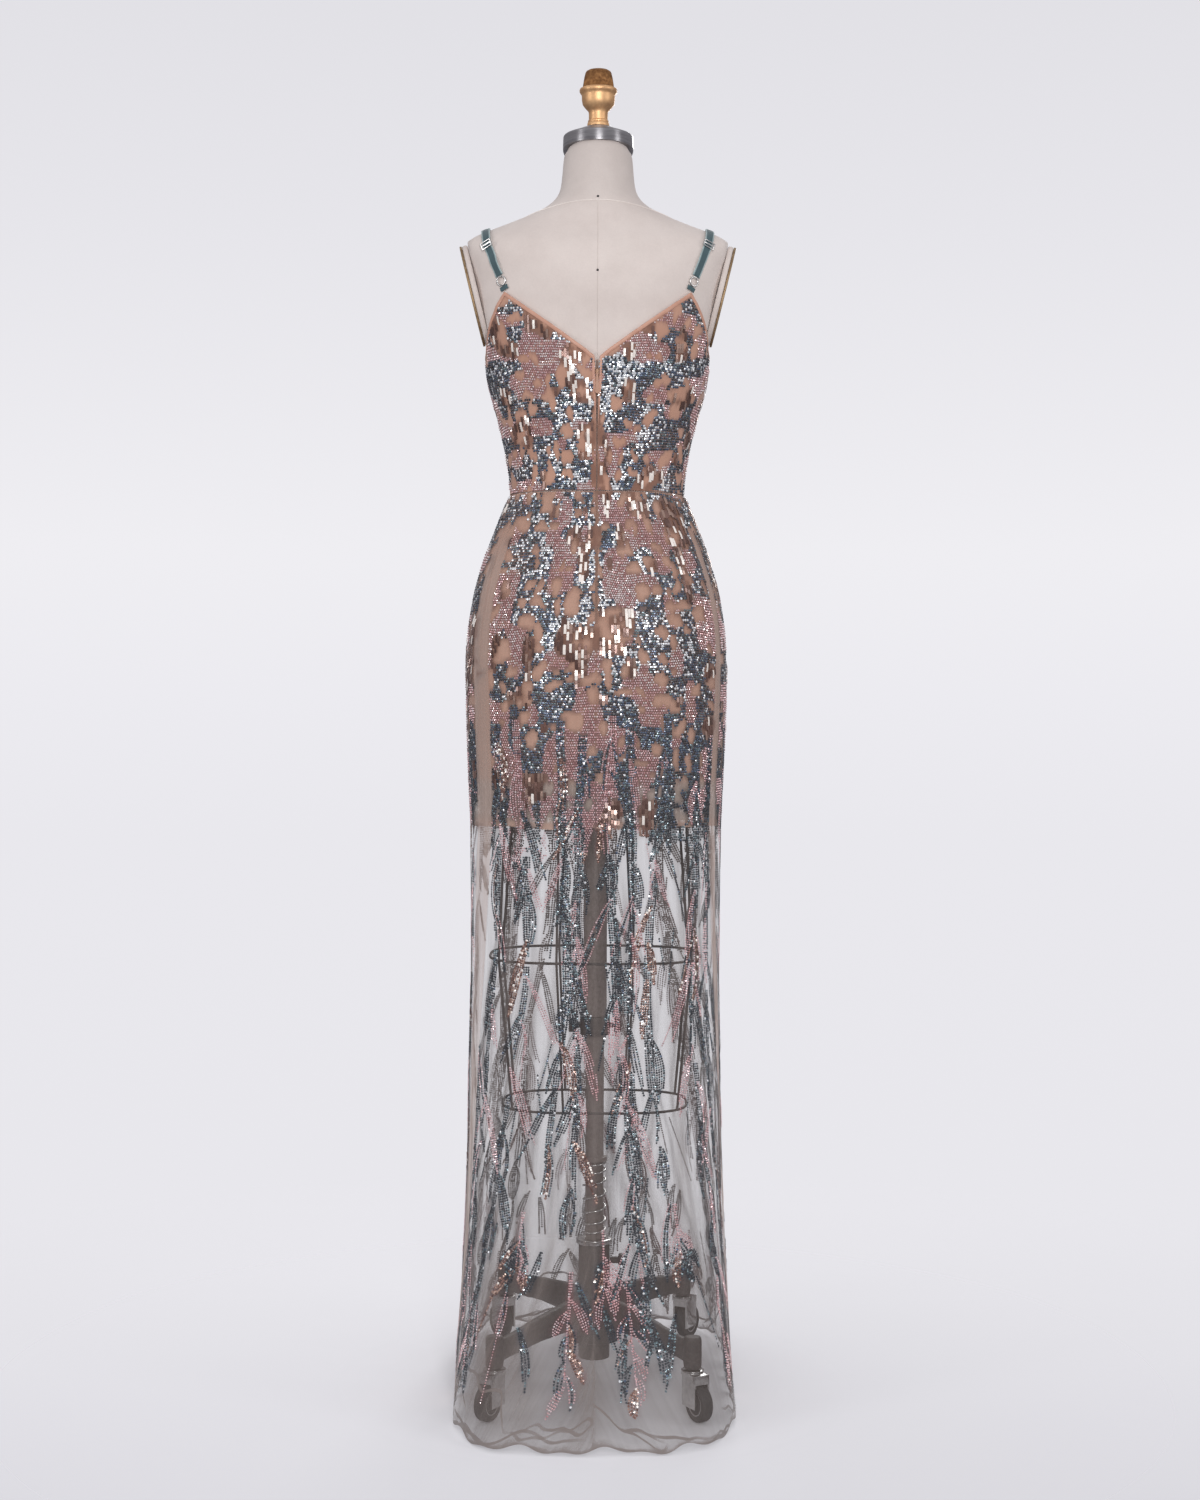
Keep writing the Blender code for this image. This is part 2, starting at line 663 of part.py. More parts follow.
def make_lower_tube():
    bore = SLIDING_POLE_R + SEAM_GAP
    turned("lower_tube", closed_outline(*LOWER_TUBE_Z, LOWER_TUBE_R, bore), IRON, 24)
    ring_low = LOWER_TUBE_Z[1] + SEAM_GAP
    ring_outline = closed_outline(ring_low, TUBE_RING_TOP_Z, LOWER_TUBE_R + TUBE_RING_OUT, bore)
    turned("tube_ring", ring_outline, SILVER, 24)
    thin, wide = CLAMP_STEM_HALF, CLAMP_HEAD_HALF
    stem_x = (LOWER_TUBE_R + SEAM_GAP, CLAMP_STEM_X)
    stem = bar("clamp_knob", stem_x, (-thin, thin), (CLAMP_Z - thin, CLAMP_Z + thin), IRON)
    head_z = (CLAMP_Z - wide, CLAMP_Z + wide)
    head = bar("cut_clamp", CLAMP_HEAD_X, (-wide, wide), head_z, IRON, CLAMP_BEVEL)
    combine(stem, [head], "UNION")


def make_base():
    """The cast base: a hub round the tube and four deep legs that end in upright knobs."""
    bore = LOWER_TUBE_R + SEAM_GAP
    hub = as_mesh(turned("cast_base", closed_outline(*HUB_Z, HUB_R, bore), IRON, 24))
    joined = []
    for number, (x, y) in enumerate(CORNERS, start=1):
        end = Vector((x * KNOB_X, y * KNOB_Y, (KNOB_Z[0] + KNOB_Z[1]) / 2))
        out = Vector((end.x, end.y, 0.0)).normalized()
        across = Vector((-out.y, out.x, 0.0))
        start = out * LEG_ROOT_R
        rings = []
        for share, height, half_tall, half_wide in LEG:
            middle = start.lerp(Vector((end.x, end.y, 0.0)), share)
            middle.z = height
            rings.append([
                middle
                + across * half_wide * math.cos(2 * math.pi * (s + 0.5) / LEG_SIDES)
                + Vector((0, 0, half_tall * math.sin(2 * math.pi * (s + 0.5) / LEG_SIDES)))
                for s in range(LEG_SIDES)
            ])
        leg = loft(f"cut_leg_{number}", rings, IRON)
        outline = closed_outline(*KNOB_Z, KNOB_R)
        knob = as_mesh(turned(f"cut_knob_{number}", outline, IRON, 12, location=(end.x, end.y, 0.0)))
        joined += [leg, knob]
    for leg in joined:
        work = bmesh.new()
        work.from_mesh(leg.data)
        bmesh.ops.recalc_face_normals(work, faces=work.faces)
        work.to_mesh(leg.data)
        work.free()
    combine(hub, joined, "UNION")


def make_casters():
    """Four swivel casters: a fork with its pin plate under each knob, and a wheel on its axle."""
    for number, ((x, y), turn) in enumerate(zip(CORNERS, CASTER_TURN), start=1):
        swivel = bpy.data.objects.new(f"swivel_{number}", None)
        swivel.location = (x * KNOB_X, y * KNOB_Y, 0.0)
        swivel.rotation_euler = (0.0, 0.0, math.radians(turn))
        swivel.parent = STAND_EMPTY
        PARTS.objects.link(swivel)
        top = KNOB_Z[0] - SEAM_GAP
        outline = closed_outline(top - SWIVEL_PLATE_WALL, top, SWIVEL_PLATE_R)
        plate = as_mesh(turned(f"caster_fork_{number}", outline, SILVER, 16, parent=swivel))
        cheeks = []
        inner = WHEEL_HALF_WIDTH + SEAM_GAP
        for side in (-1, 1):
            wall = sorted((side * inner, side * (inner + FORK_WALL)))
            tall = (WHEEL_R - FORK_BELOW_AXLE, top - FORK_UNDER_PLATE)
            cheek = bar(f"cut_cheek_{number}_{side}", FORK_X, wall, tall, SILVER)
            cheek.parent = swivel
            cheeks.append(cheek)
        middle = inner + FORK_WALL / 2
        tall = (2 * WHEEL_R + BRIDGE_CLEAR, top - FORK_UNDER_PLATE)
        bridge = bar(f"cut_bridge_{number}", FORK_X, (-middle, middle), tall, SILVER)
        bridge.parent = swivel
        combine(plate, cheeks + [bridge], "UNION")
        make_wheel(number, swivel)


def make_wheel(number, swivel):
    """A wheel with flats on its tread, so that one flat lies on the floor."""
    half_step = math.pi / WHEEL_SIDES
    corner_r = WHEEL_R / math.cos(half_step)
    rings = []
    for across, share in ((-1.0, 0.90), (-0.75, 1.0), (0.75, 1.0), (1.0, 0.90)):
        rings.append([
            Vector((
                corner_r * share * math.sin(2 * math.pi * k / WHEEL_SIDES + half_step),
                across * WHEEL_HALF_WIDTH,
                corner_r * share * math.cos(2 * math.pi * k / WHEEL_SIDES + half_step),
            ))
            for k in range(WHEEL_SIDES)
        ])
    wheel = loft(f"caster_wheel_{number}", rings, TYRE, smooth=False)
    work = bmesh.new()
    work.from_mesh(wheel.data)
    bmesh.ops.recalc_face_normals(work, faces=work.faces)
    work.to_mesh(wheel.data)
    work.free()
    wheel.parent = swivel
    wheel.location = (WHEEL_TRAIL, 0.0, WHEEL_R)


# ---------------------------------------------------------------- the gown


def back_top(x):
    """Height of the back neckline over a distance from the centre back."""
    return V_BACK_Z + (TIP_Z - V_BACK_Z) * min(1.0, x / TIP_X)


def front_top(x):
    return V_FRONT_Z + (FRONT_TIP_Z - V_FRONT_Z) * min(1.0, x / FRONT_TIP_X) ** 1.1


def tip_angle(tip_x, tip_z, front):
    """The angle from the centre back at which the bodice's surface is tip_x away from the middle."""
    low, high = (math.pi / 2, math.pi) if front else (0.0, math.pi / 2)
    for _ in range(40):
        middle = (low + high) / 2
        wide = bodice_point(middle, tip_z).x > tip_x
        if wide == front:
            low = middle
        else:
            high = middle
    return (low + high) / 2


BACK_TIP = tip_angle(TIP_X, TIP_Z, False)
FRONT_TIP = tip_angle(FRONT_TIP_X, FRONT_TIP_Z, True)
SIDE = math.pi / 2


def top_edge(angle):
    """Height of the bodice's upper edge at an angle, from the centre back to the centre front."""
    if angle <= BACK_TIP or angle >= FRONT_TIP:
        neckline = back_top if angle <= BACK_TIP else front_top
        height = 1.44
        for _ in range(12):
            height = neckline(abs(bodice_point(angle, height).x))
        return height
    if angle <= SIDE:
        t, tip = (angle - BACK_TIP) / (SIDE - BACK_TIP), TIP_Z
    else:
        t, tip = (FRONT_TIP - angle) / (FRONT_TIP - SIDE), FRONT_TIP_Z
    return tip + (UNDERARM_Z - tip) * math.sin(t * math.pi / 2) ** 1.15


def seam_angle(height, half_gap, table_point):
    """The angle that leaves half a gap beside the centre back."""
    return half_gap / abs(table_point(0.0, height).y)


def bodice_angles(word):
    """The columns of a bodice piece, on the right side; the left side mirrors them."""
    edge = SEAM_GAP / 2 / 0.155
    if word == "back":
        return spread(0.0, BACK_TIP, 7) + spread(BACK_TIP, SIDE - edge, 4)[1:]
    return spread(SIDE + edge, FRONT_TIP, 4) + spread(FRONT_TIP, math.pi, 7)[1:]


def bodice_column(angle, side):
    """Points of one column from the waist seam to the binding's foot and the upper edge."""
    top = top_edge(angle)
    column = []
    for height in spread(BODICE_FOOT_Z, top - BINDING_WIDTH, BODICE_ROWS - 1) + [top]:
        turn = angle if angle > 0 else seam_angle(height, ZIP_CHANNEL, bodice_point)
        point = bodice_point(turn, height)
        column.append(Vector((side * point.x, point.y, point.z)))
    return column


def make_bodice():
    for side, word in ((-1, "left"), (1, "right")):
        angles = bodice_angles("back")
        columns = [bodice_column(a, side) for a in angles]
        if side < 0:
            columns.reverse()
        cloth(f"bodice_back_{word}", columns, CLOTH, NUDE)
    right = bodice_angles("front")
    columns = [bodice_column(a, 1) for a in right]
    columns += [bodice_column(a, -1) for a in reversed(right[:-1])]
    cloth("bodice_front", columns, CLOTH, NUDE)


def panel_point(columns, along, up, out):
    """A point over a panel: along counts its columns, up runs from 0 at its foot to 1 at its edge."""

    def flat(u, v):
        c = min(max(int(u), 0), len(columns) - 2)
        spans = len(columns[0]) - 1
        place = v * spans
        r = min(max(int(place + 0.001), 0), spans - 1)
        s, t = u - c, place - r
        low = columns[c][r].lerp(columns[c + 1][r], s)
        high = columns[c][r + 1].lerp(columns[c + 1][r + 1], s)
        return low + (high - low) * t

    point = flat(along, up)
    near, far = flat(along - 0.3, up), flat(along + 0.3, up)
    below, above = flat(along, up - 0.05), flat(along, up)
    normal = (far - near).cross(above - below).normalized()
    if normal.x * point.x + normal.y * point.y < 0:
        normal = -normal
    return point + normal * out


def binding_columns(word, first, last, side):
    """Columns of a binding over part of a panel, between two places counted in its columns."""
    columns = [bodice_column(a, side) for a in bodice_angles(word)]
    made = []
    out = CLOTH + SEAM_GAP
    foot, top = 1 - 1 / BODICE_ROWS, 1 + 0.05 / BODICE_ROWS
    for along in [first] + list(range(math.ceil(first + 0.001), math.ceil(last - 0.001))) + [last]:
        made.append([panel_point(columns, along, foot, out), panel_point(columns, along, top, out)])
    return made


def make_bindings():
    """Peach strips along the V back, the armholes and the front neckline."""
    clear = 0.10
    back_tip, back_side = 7, 11
    front_tip, front_middle = 4, 11
    for side, word in ((-1, "left"), (1, "right")):
        neck = binding_columns("back", 0, back_tip - clear, side)
        armhole = binding_columns("back", back_tip + clear, back_side, side)
        armhole += binding_columns("front", 0, front_tip - clear, side)
        for name, columns in ((f"binding_back_{word}", neck), (f"binding_armhole_{word}", armhole)):
            if side < 0:
                columns.reverse()
            cloth(name, columns, BINDING_WALL, BINDING)
    right = binding_columns("front", front_tip + clear, front_middle, 1)
    left = binding_columns("front", front_tip + clear, front_middle, -1)
    left.reverse()
    cloth("binding_front", right + left[1:], BINDING_WALL, BINDING)


def skirt_heights(low, high):
    """The row heights of the skirt and its lining, so that their facets lie side by side."""
    rows = [
        0.0, 0.045, 0.095, 0.16, 0.24, 0.34, 0.45, 0.60, LINING_HEM_Z, 0.825,
        0.88, 0.935, 0.985, ZIP_FOOT_Z, 1.085, 1.13, 1.175, SKIRT_TOP_Z,
    ]
    return [z for z in rows if low <= z <= high]


def skirt_columns(side, first, last, lining=False):
    """Columns of a skirt piece on one side, between two column numbers from the centre back."""
    heights = skirt_heights(LINING_HEM_Z if lining else 0.0, WAIST_Z)
    step = 2 * math.pi / COLUMNS
    columns = []
    for k in range(first, last + 1):
        column = []
        for height in heights:
            half_width = at_height(SKIRT, height)[0]
            angle = k * step
            if k == 0 and not lining:
                half_gap = ZIP_CHANNEL if height >= ZIP_FOOT_Z else SEAM_GAP / 2
                angle = seam_angle(height, half_gap, skirt_point)
            if k == COLUMNS // 4:
                inward = SEAM_GAP / 2 / half_width
                angle += inward if last > COLUMNS // 4 else -inward
            if lining:
                point = skirt_point(side * angle, height, -LINING_INSET, folded=False)
            else:
                point = skirt_point(side * angle, height)
            column.append(point)
        columns.append(column)
    if side < 0:
        columns.reverse()
    return columns


def make_skirt():
    quarter, half = COLUMNS // 4, COLUMNS // 2
    for side, word in ((-1, "left"), (1, "right")):
        cloth(f"skirt_back_{word}", skirt_columns(side, 0, quarter), CLOTH, TULLE)
    right = skirt_columns(1, quarter, half)
    left = skirt_columns(-1, quarter, half)
    cloth("skirt_front", right + left[1:], CLOTH, TULLE)
    left = skirt_columns(-1, 0, quarter, lining=True)
    right = skirt_columns(1, 0, quarter, lining=True)
    cloth("lining_back", left + right[1:], LINING, NUDE)
    right = skirt_columns(1, quarter, half, lining=True)
    left = skirt_columns(-1, quarter, half, lining=True)
    cloth("lining_front", right + left[1:], LINING, NUDE)


# ---------------------------------------------------------------- straps and findings


def skin_of(item):
    """A search tree over an object's evaluated faces, in the form's own frame."""
    bpy.context.view_layer.update()
    graph = bpy.context.evaluated_depsgraph_get()
    shown = item.evaluated_get(graph).to_mesh()
    shown.calc_loop_triangles()
    points = [v.co.copy() for v in shown.vertices]
    faces = [tuple(f.vertices) for f in shown.loop_triangles]
    return BVHTree.FromPolygons(points, faces)


def height_under(skins, place, normal, spots):
    """How far the highest surface under some spots stands over a place, along its normal."""
    far = 0.05
    heights = []
    for spot in spots:
        for skin in skins:
            hit = skin.ray_cast(spot + normal * far, -normal)
            if hit[0] is not None:
                heights.append((hit[0] - place).dot(normal))
    return max(heights)


def smooth_route(points, samples):
    """Points read from a smooth curve through a route's own points."""
    spots = [Vector(p) for p in points]
    spots = [2 * spots[0] - spots[1]] + spots + [2 * spots[-1] - spots[-2]]
    route = []
    spans = len(spots) - 3
    for k in range(samples + 1):
        place = min(k / samples * spans, spans - 1e-6)
        i, t = int(place), place - int(place)
        a, b, c, d = spots[i : i + 4]
        route.append(
            0.5 * (2 * b + (c - a) * t + (2 * a - 5 * b + 4 * c - d) * t**2 + (3 * b - a - 3 * c + d) * t**3)
        )
    return route


def settle(points, skin, clear):
    """Lifts a line of points until it, and the stretches between its points, clear the form."""
    for _ in range(8):
        for near, far in zip(points, points[1:]):
            for share in (0.0, 0.25, 0.5, 0.75, 1.0):
                spot = near.lerp(far, share)
                skin_spot, normal, _, _ = skin.find_nearest(spot)
                short = clear - (spot - skin_spot).dot(normal)
                if short > 0:
                    near += normal * short * (1 - share)
                    far += normal * short * share


def ribbon(name, skin, route, out, look, width=STRAP_WIDTH, wall=STRAP_WALL):
    """A flat ribbon laid on the form along a route, its wall built outwards."""
    seats = []
    for point in route:
        place, normal, _, _ = skin.find_nearest(point)
        seats.append((place + normal * out, normal))
    columns = [[], [], []]
    for k, (place, normal) in enumerate(seats):
        ahead = seats[min(k + 1, len(seats) - 1)][0] - seats[max(k - 1, 0)][0]
        across = ahead.cross(normal).normalized()
        for column, share in zip(columns, (-0.5, 0.0, 0.5)):
            spot = place + across * width * share
            near, skin_normal, _, _ = skin.find_nearest(spot)
            column.append(near + skin_normal * out)
    for column in columns:
        settle(column, skin, out)
    item = cloth(name, columns, wall, look)
    work = bmesh.new()
    work.from_mesh(item.data)
    bmesh.ops.recalc_face_normals(work, faces=work.faces)
    middle = len(work.faces) // 2
    work.faces.ensure_lookup_table()
    face = work.faces[middle]
    _, normal, _, _ = skin.find_nearest(face.calc_center_median())
    if face.normal.dot(normal) < 0:
        bmesh.ops.reverse_faces(work, faces=work.faces)
    work.to_mesh(item.data)
    work.free()
    return item


def seat_frame(skin, point, out):
    """The place over the form's skin, with its normal, downhill direction and across direction."""
    place, normal, _, _ = skin.find_nearest(Vector(point))
    down = Vector((0, 0, -1))
    down = (down - normal * down.dot(normal)).normalized()
    across = down.cross(normal).normalized()
    return place + normal * out, normal, down, across


def seat_route(skin, side):
    """The strap's route seated on the form: each hand-chosen point found from the side it is seen."""
    seated = []
    for x, face, value in STRAP_ROUTE:
        if face == "top":
            start, ahead = Vector((side * x, value, 2.0)), Vector((0, 0, -1))
        else:
            toward = 1.0 if face == "back" else -1.0
            start, ahead = Vector((side * x, -toward, value)), Vector((0, toward, 0))
        seated.append(skin.ray_cast(start, ahead)[0])
    return smooth_route(seated, 20)


def make_straps(skin):
    """Velvet straps from the back rings over the shoulders to the front neckline."""
    for side, word in ((-1, "left"), (1, "right")):
        route = seat_route(skin, side)
        strap = ribbon(f"strap_{word}", skin, route, STRAP_OUT, VELVET)
        towards = (route[0] - route[1]).normalized()
        clear = RING_R + RING_WIRE_R + SEAM_GAP
        middle = route[0] + towards * clear
        place, normal, down, across = seat_frame(skin, middle, 0.0)
        turn = [
            place + (across * math.cos(2 * math.pi * k / 16) + down * math.sin(2 * math.pi * k / 16)) * RING_R
            for k in range(16)
        ]
        rise = height_under([skin], place, normal, turn + [middle]) + RING_WIRE_R + 2 * SEAM_GAP
        turn = [point + normal * rise for point in turn]
        wire(f"ring_{word}", turn, RING_WIRE_R, SILVER, cyclic=True)
        start = middle + towards * clear
        loop = [start.lerp(start + towards * LOOP_LENGTH, k / 3) for k in range(4)]
        ribbon(f"strap_loop_{word}", skin, loop, STRAP_OUT, VELVET)
        make_strap_slider(word, [skin, skin_of(strap)], route)


def make_strap_slider(word, skins, route):
    """A flat metal slider with two slots, lying on the strap above the ring."""
    place, normal, _, _ = seat_frame(skins[0], route[SLIDER_STEP], 0.0)
    ahead = route[SLIDER_STEP - 1] - route[SLIDER_STEP + 1]
    along = (ahead - normal * ahead.dot(normal)).normalized()
    sideways = along.cross(normal).normalized()
    spots = [
        place + sideways * SLIDER_SIZE[0] * i / 8 + along * SLIDER_SIZE[1] * j / 4
        for i in range(-4, 5)
        for j in range(-2, 3)
    ]
    rise = height_under(skins, place, normal, spots) + SLIDER_SIZE[2] / 2 + SEAM_GAP
    turn = Matrix((sideways, along, normal)).transposed().to_4x4()
    turn.translation = place + normal * rise
    frame = slab(f"strap_slider_{word}", turn, SLIDER_SIZE, SILVER)
    slots = []
    for number, shift in enumerate((-0.0023, 0.0023)):
        move = turn @ Matrix.Translation((0.0, shift, 0.0))
        slots.append(slab(f"cut_slot_{word}_{number}", move, (0.0132, 0.0026, 0.0100), SILVER))
    combine(frame, slots, "DIFFERENCE")


def slab(name, frame, size, look):
    work = bmesh.new()
    bmesh.ops.create_cube(work, size=1.0, matrix=frame @ Matrix.Diagonal((*size, 1)))
    made = bpy.data.meshes.new(name)
    bmesh.ops.recalc_face_normals(work, faces=work.faces)
    work.to_mesh(made)
    work.free()
    return node(name, made, look, smooth=False)


# ---------------------------------------------------------------- the zip


def make_zip():
    """The coil between the two back edges, its slider, and the pull tab that hangs from it."""
    columns = []
    for side in (-1, 1):
        column = []
        for height in skirt_heights(ZIP_FOOT_Z, WAIST_Z):
            foot = height + (SEAM_GAP if height == ZIP_FOOT_Z else 0.0)
            column.append(skirt_point(side * seam_angle(foot, ZIP_HALF, skirt_point), foot))
        for height in spread(BODICE_FOOT_Z, V_BACK_Z - 0.002, 6):
            column.append(bodice_point(side * seam_angle(height, ZIP_HALF, bodice_point), height))
        columns.append(column)
    cloth("zip_coil", columns, CLOTH, COIL)
    outer = bodice_point(0.0, ZIP_SLIDER_Z, CLOTH + 3 * SEAM_GAP)
    face_y = outer.y - ZIP_SLIDER_WALL
    wide, tall = ZIP_SLIDER_HALF
    slider_z = (ZIP_SLIDER_Z - tall, ZIP_SLIDER_Z + tall)
    bar("zip_slider", (-wide, wide), (face_y, outer.y), slider_z, COIL, ZIP_SLIDER_BEVEL)
    hinge = bpy.data.objects.new("zip_pull_hinge", None)
    hinge.location = (0.0, face_y - SEAM_GAP - PULL_WALL / 2, ZIP_SLIDER_Z - PULL_HINGE_DROP)
    hinge.parent = STAND_EMPTY
    PARTS.objects.link(hinge)
    make_pull(hinge)


def make_pull(hinge):
    """A teardrop tab: narrow at its hinge, round and wide at its foot."""
    outline = bpy.data.curves.new("zip_pull", "CURVE")
    outline.dimensions = "2D"
    outline.fill_mode = "BOTH"
    outline.extrude = PULL_WALL / 2
    outline.render_resolution_u = 0
    spline = outline.splines.new("POLY")
    half, narrow = PULL_WIDTH / 2, PULL_NECK_HALF
    round_y = -PULL_LENGTH + half
    points = [(narrow, PULL_HEAD), (-narrow, PULL_HEAD), (-narrow, PULL_NECK_FOOT)]
    points += [
        (half * math.cos(a), round_y + half * math.sin(a)) for a in spread(math.pi, 2 * math.pi, 8)
    ]
    points += [(narrow, PULL_NECK_FOOT)]
    spline.points.add(len(points) - 1)
    for place, (x, y) in zip(spline.points, points):
        place.co = (x, y, 0.0, 1.0)
    spline.use_cyclic_u = True
    tab = node("zip_pull", outline, COIL, smooth=False, parent=hinge)
    tab.rotation_euler = (math.pi / 2, 0.0, 0.0)


# ---------------------------------------------------------------- putting it together

make_bodice()
make_bindings()
make_skirt()
make_zip()
torso_object = make_torso()
make_arm_plates(torso_object)
make_straps(skin_of(torso_object))
make_neck()
make_cage()
make_pole()
make_spring()
make_lower_tube()
make_base()
make_casters()
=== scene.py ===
# %% [markdown]
# # A beaded evening gown on a limbless dress form
#
# This file dresses a plain model. The solids of the gown, its form and its stand are already there at
# their real size, as a fixed frame. Here each of them gets the surface that the eye expects: sheer
# tulle, matt lining, glass beads, metal foil, velvet, linen and cast iron. One unit is one metre, +Z
# is up, the gown's back faces -Y and the wearer's right side is at +X.

# %% Libraries and the fixed frame
import json
import math

import bmesh
import bpy
import numpy as np
from mathutils import Matrix, Vector
from mathutils.bvhtree import BVHTree

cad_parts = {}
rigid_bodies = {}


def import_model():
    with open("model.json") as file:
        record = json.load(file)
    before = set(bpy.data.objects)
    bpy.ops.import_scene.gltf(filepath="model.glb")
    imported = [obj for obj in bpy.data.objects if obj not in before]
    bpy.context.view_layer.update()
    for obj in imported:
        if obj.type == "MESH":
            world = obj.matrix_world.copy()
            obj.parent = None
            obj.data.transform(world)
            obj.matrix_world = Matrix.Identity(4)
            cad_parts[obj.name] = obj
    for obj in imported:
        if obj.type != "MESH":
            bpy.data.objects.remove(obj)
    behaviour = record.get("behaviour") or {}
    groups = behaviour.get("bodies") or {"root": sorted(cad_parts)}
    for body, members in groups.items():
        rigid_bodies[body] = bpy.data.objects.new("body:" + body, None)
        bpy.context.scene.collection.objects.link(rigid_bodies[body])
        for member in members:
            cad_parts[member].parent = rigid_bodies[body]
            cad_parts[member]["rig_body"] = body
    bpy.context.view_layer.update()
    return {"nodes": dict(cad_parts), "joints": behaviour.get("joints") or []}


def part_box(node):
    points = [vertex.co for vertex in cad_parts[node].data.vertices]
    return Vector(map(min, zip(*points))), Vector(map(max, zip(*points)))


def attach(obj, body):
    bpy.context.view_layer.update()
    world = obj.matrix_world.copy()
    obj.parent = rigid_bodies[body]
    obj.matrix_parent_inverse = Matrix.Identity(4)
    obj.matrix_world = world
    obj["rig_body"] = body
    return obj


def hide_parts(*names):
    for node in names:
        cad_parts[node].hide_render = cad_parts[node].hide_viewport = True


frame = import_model()
NODES = frame["nodes"]
MM = 0.001
TAU = 2 * math.pi
low_corner, high_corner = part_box("pole_upper")
AXIS_Y = (low_corner.y + high_corner.y) / 2
print("solids:", len(NODES), " the form's axis stands at y =", round(AXIS_Y, 4))

# %% [markdown]
# ## Small helpers
#
# A hex colour is what a screen shows, and a shader wants linear light, so one function converts it.
# `add` puts a node in a tree with its settings and its links in one line; a node given as an input
# stands for its first output. `put_stops` writes the stops of a colour ramp. `mesh_piece` turns points
# and faces into an object at the origin, with its place in its mesh, and `keep_values` stores a number
# or a vector for each of a mesh's points.

# %% Colours, nodes and meshes


def linear(code):
    """A colour such as #B58E78 as linear RGBA."""
    read = []
    for k in (1, 3, 5):
        value = int(code[k : k + 2], 16) / 255
        read.append(value / 12.92 if value <= 0.04045 else ((value + 0.055) / 1.055) ** 2.4)
    return (*read, 1.0)


def add(tree, kind, inputs=None, **settings):
    """One new node. Its inputs are values, or the sockets or nodes that feed them."""
    made = tree.nodes.new(kind)
    for key, value in settings.items():
        setattr(made, key, value)
    for key, value in (inputs or {}).items():
        if isinstance(value, bpy.types.Node):
            value = value.outputs[0]
        if isinstance(value, bpy.types.NodeSocket):
            tree.links.new(value, made.inputs[key])
        else:
            made.inputs[key].default_value = value
    return made


def put_stops(ramp, *stops):
    """Writes a ramp's stops, each a place from 0 to 1 and a hex colour."""
    ramp.elements[0].position, ramp.elements[1].position = stops[0][0], stops[-1][0]
    for at, _ in stops[1:-1]:
        ramp.elements.new(at)
    for stop, (_, code) in zip(ramp.elements, stops):
        stop.color = linear(code)


def new_material(name):
    """An empty node material and its tree, with the output node."""
    made = bpy.data.materials.new(name)
    made.use_nodes = True
    made.node_tree.nodes.clear()
    return made, made.node_tree, add(made.node_tree, "ShaderNodeOutputMaterial")


def new_object(name, data):
    made = bpy.data.objects.new(name, data)
    bpy.context.scene.collection.objects.link(made)
    return made


def mesh_piece(name, points, faces, smooth=True):
    data = bpy.data.meshes.new(name)
    data.from_pydata(np.asarray(points).reshape(-1, 3).tolist(), [], faces)
    if smooth:
        data.shade_smooth()
    return new_object(name, data)


def keep_values(data, key, values, kind="FLOAT"):
    """Stores a value for each point of a mesh under a name."""
    field = "vector" if kind == "FLOAT_VECTOR" else "value"
    data.attributes.new(key, kind, "POINT").data.foreach_set(field, np.asarray(values).ravel())


def unit(vectors):
    return vectors / np.linalg.norm(vectors, axis=-1, keepdims=True)


# %% [markdown]
# ## Reading the frame's surfaces
#
# A skirt, a lining and a torso all stand round one upright axis, so a table of distances from that
# axis, by angle and by height, describes each of them. Rays shot at the solids fill the table, and a
# smooth cubic reading between its cells takes their facets away. Everything soft is then drawn on
# such a skin, which keeps it exactly where the solids are. Angles start at the centre back.

# %% A smooth skin over some of the frame's solids
FAR = 0.7  # where the rays start, outside everything


def search_tree(names):
    points, faces = [], []
    for name in names:
        data, start = NODES[name].data, len(points)
        points += [v.co.copy() for v in data.vertices]
        faces += [tuple(start + i for i in p.vertices) for p in data.polygons]
    return BVHTree.FromPolygons(points, faces)


def cubic(a, b, c, d, t):
    return 0.5 * (2 * b + (c - a) * t + (2 * a - 5 * b + 4 * c - d) * t**2 + (3 * b - a - 3 * c + d) * t**3)


class Skin:
    """The outer surface of some solids, as a smooth distance from the axis by angle and height."""

    columns = 72

    def __init__(self, names, low, high, step=0.015):
        self.rows = round((high - low) / step) + 1
        self.low, self.step = low, (high - low) / (self.rows - 1)
        tree = search_tree(names)
        self.table = np.full((self.rows, self.columns), np.nan)
        for r in range(self.rows):
            for c in range(self.columns):
                turn = (c + 0.5) * TAU / self.columns
                out = Vector((math.sin(turn), -math.cos(turn), 0.0))
                start = Vector((0.0, AXIS_Y, low + r * self.step)) + out * FAR
                hit = tree.ray_cast(start, -out, FAR)
                if hit[0] is not None:
                    self.table[r, c] = FAR - hit[3]

    def settle(self):
        """Rounds the facets off, by a blur with the neighbouring cells."""
        around = np.roll(self.table, 1, 1) + np.roll(self.table, -1, 1)
        self.table = self.table / 2 + around / 4
        self.table[1:-1] = self.table[1:-1] / 2 + (self.table[2:] + self.table[:-2]) / 4

    def reach(self, angle, height):
        across = (np.asarray(angle, float) / TAU * self.columns - 0.5) % self.columns
        up = np.clip((np.asarray(height, float) - self.low) / self.step, 0, self.rows - 1.00001)
        across, up = np.broadcast_arrays(across, up)
        c, r = np.floor(across).astype(int), np.floor(up).astype(int)
        beside = (c[..., None] + (-1, 0, 1, 2)) % self.columns
        lines = []
        for k in (-1, 0, 1, 2):
            row = self.table[np.clip(r + k, 0, self.rows - 1)[..., None], beside]
            lines.append(cubic(*np.moveaxis(row, -1, 0), across - c))
        return cubic(*lines, up - r)


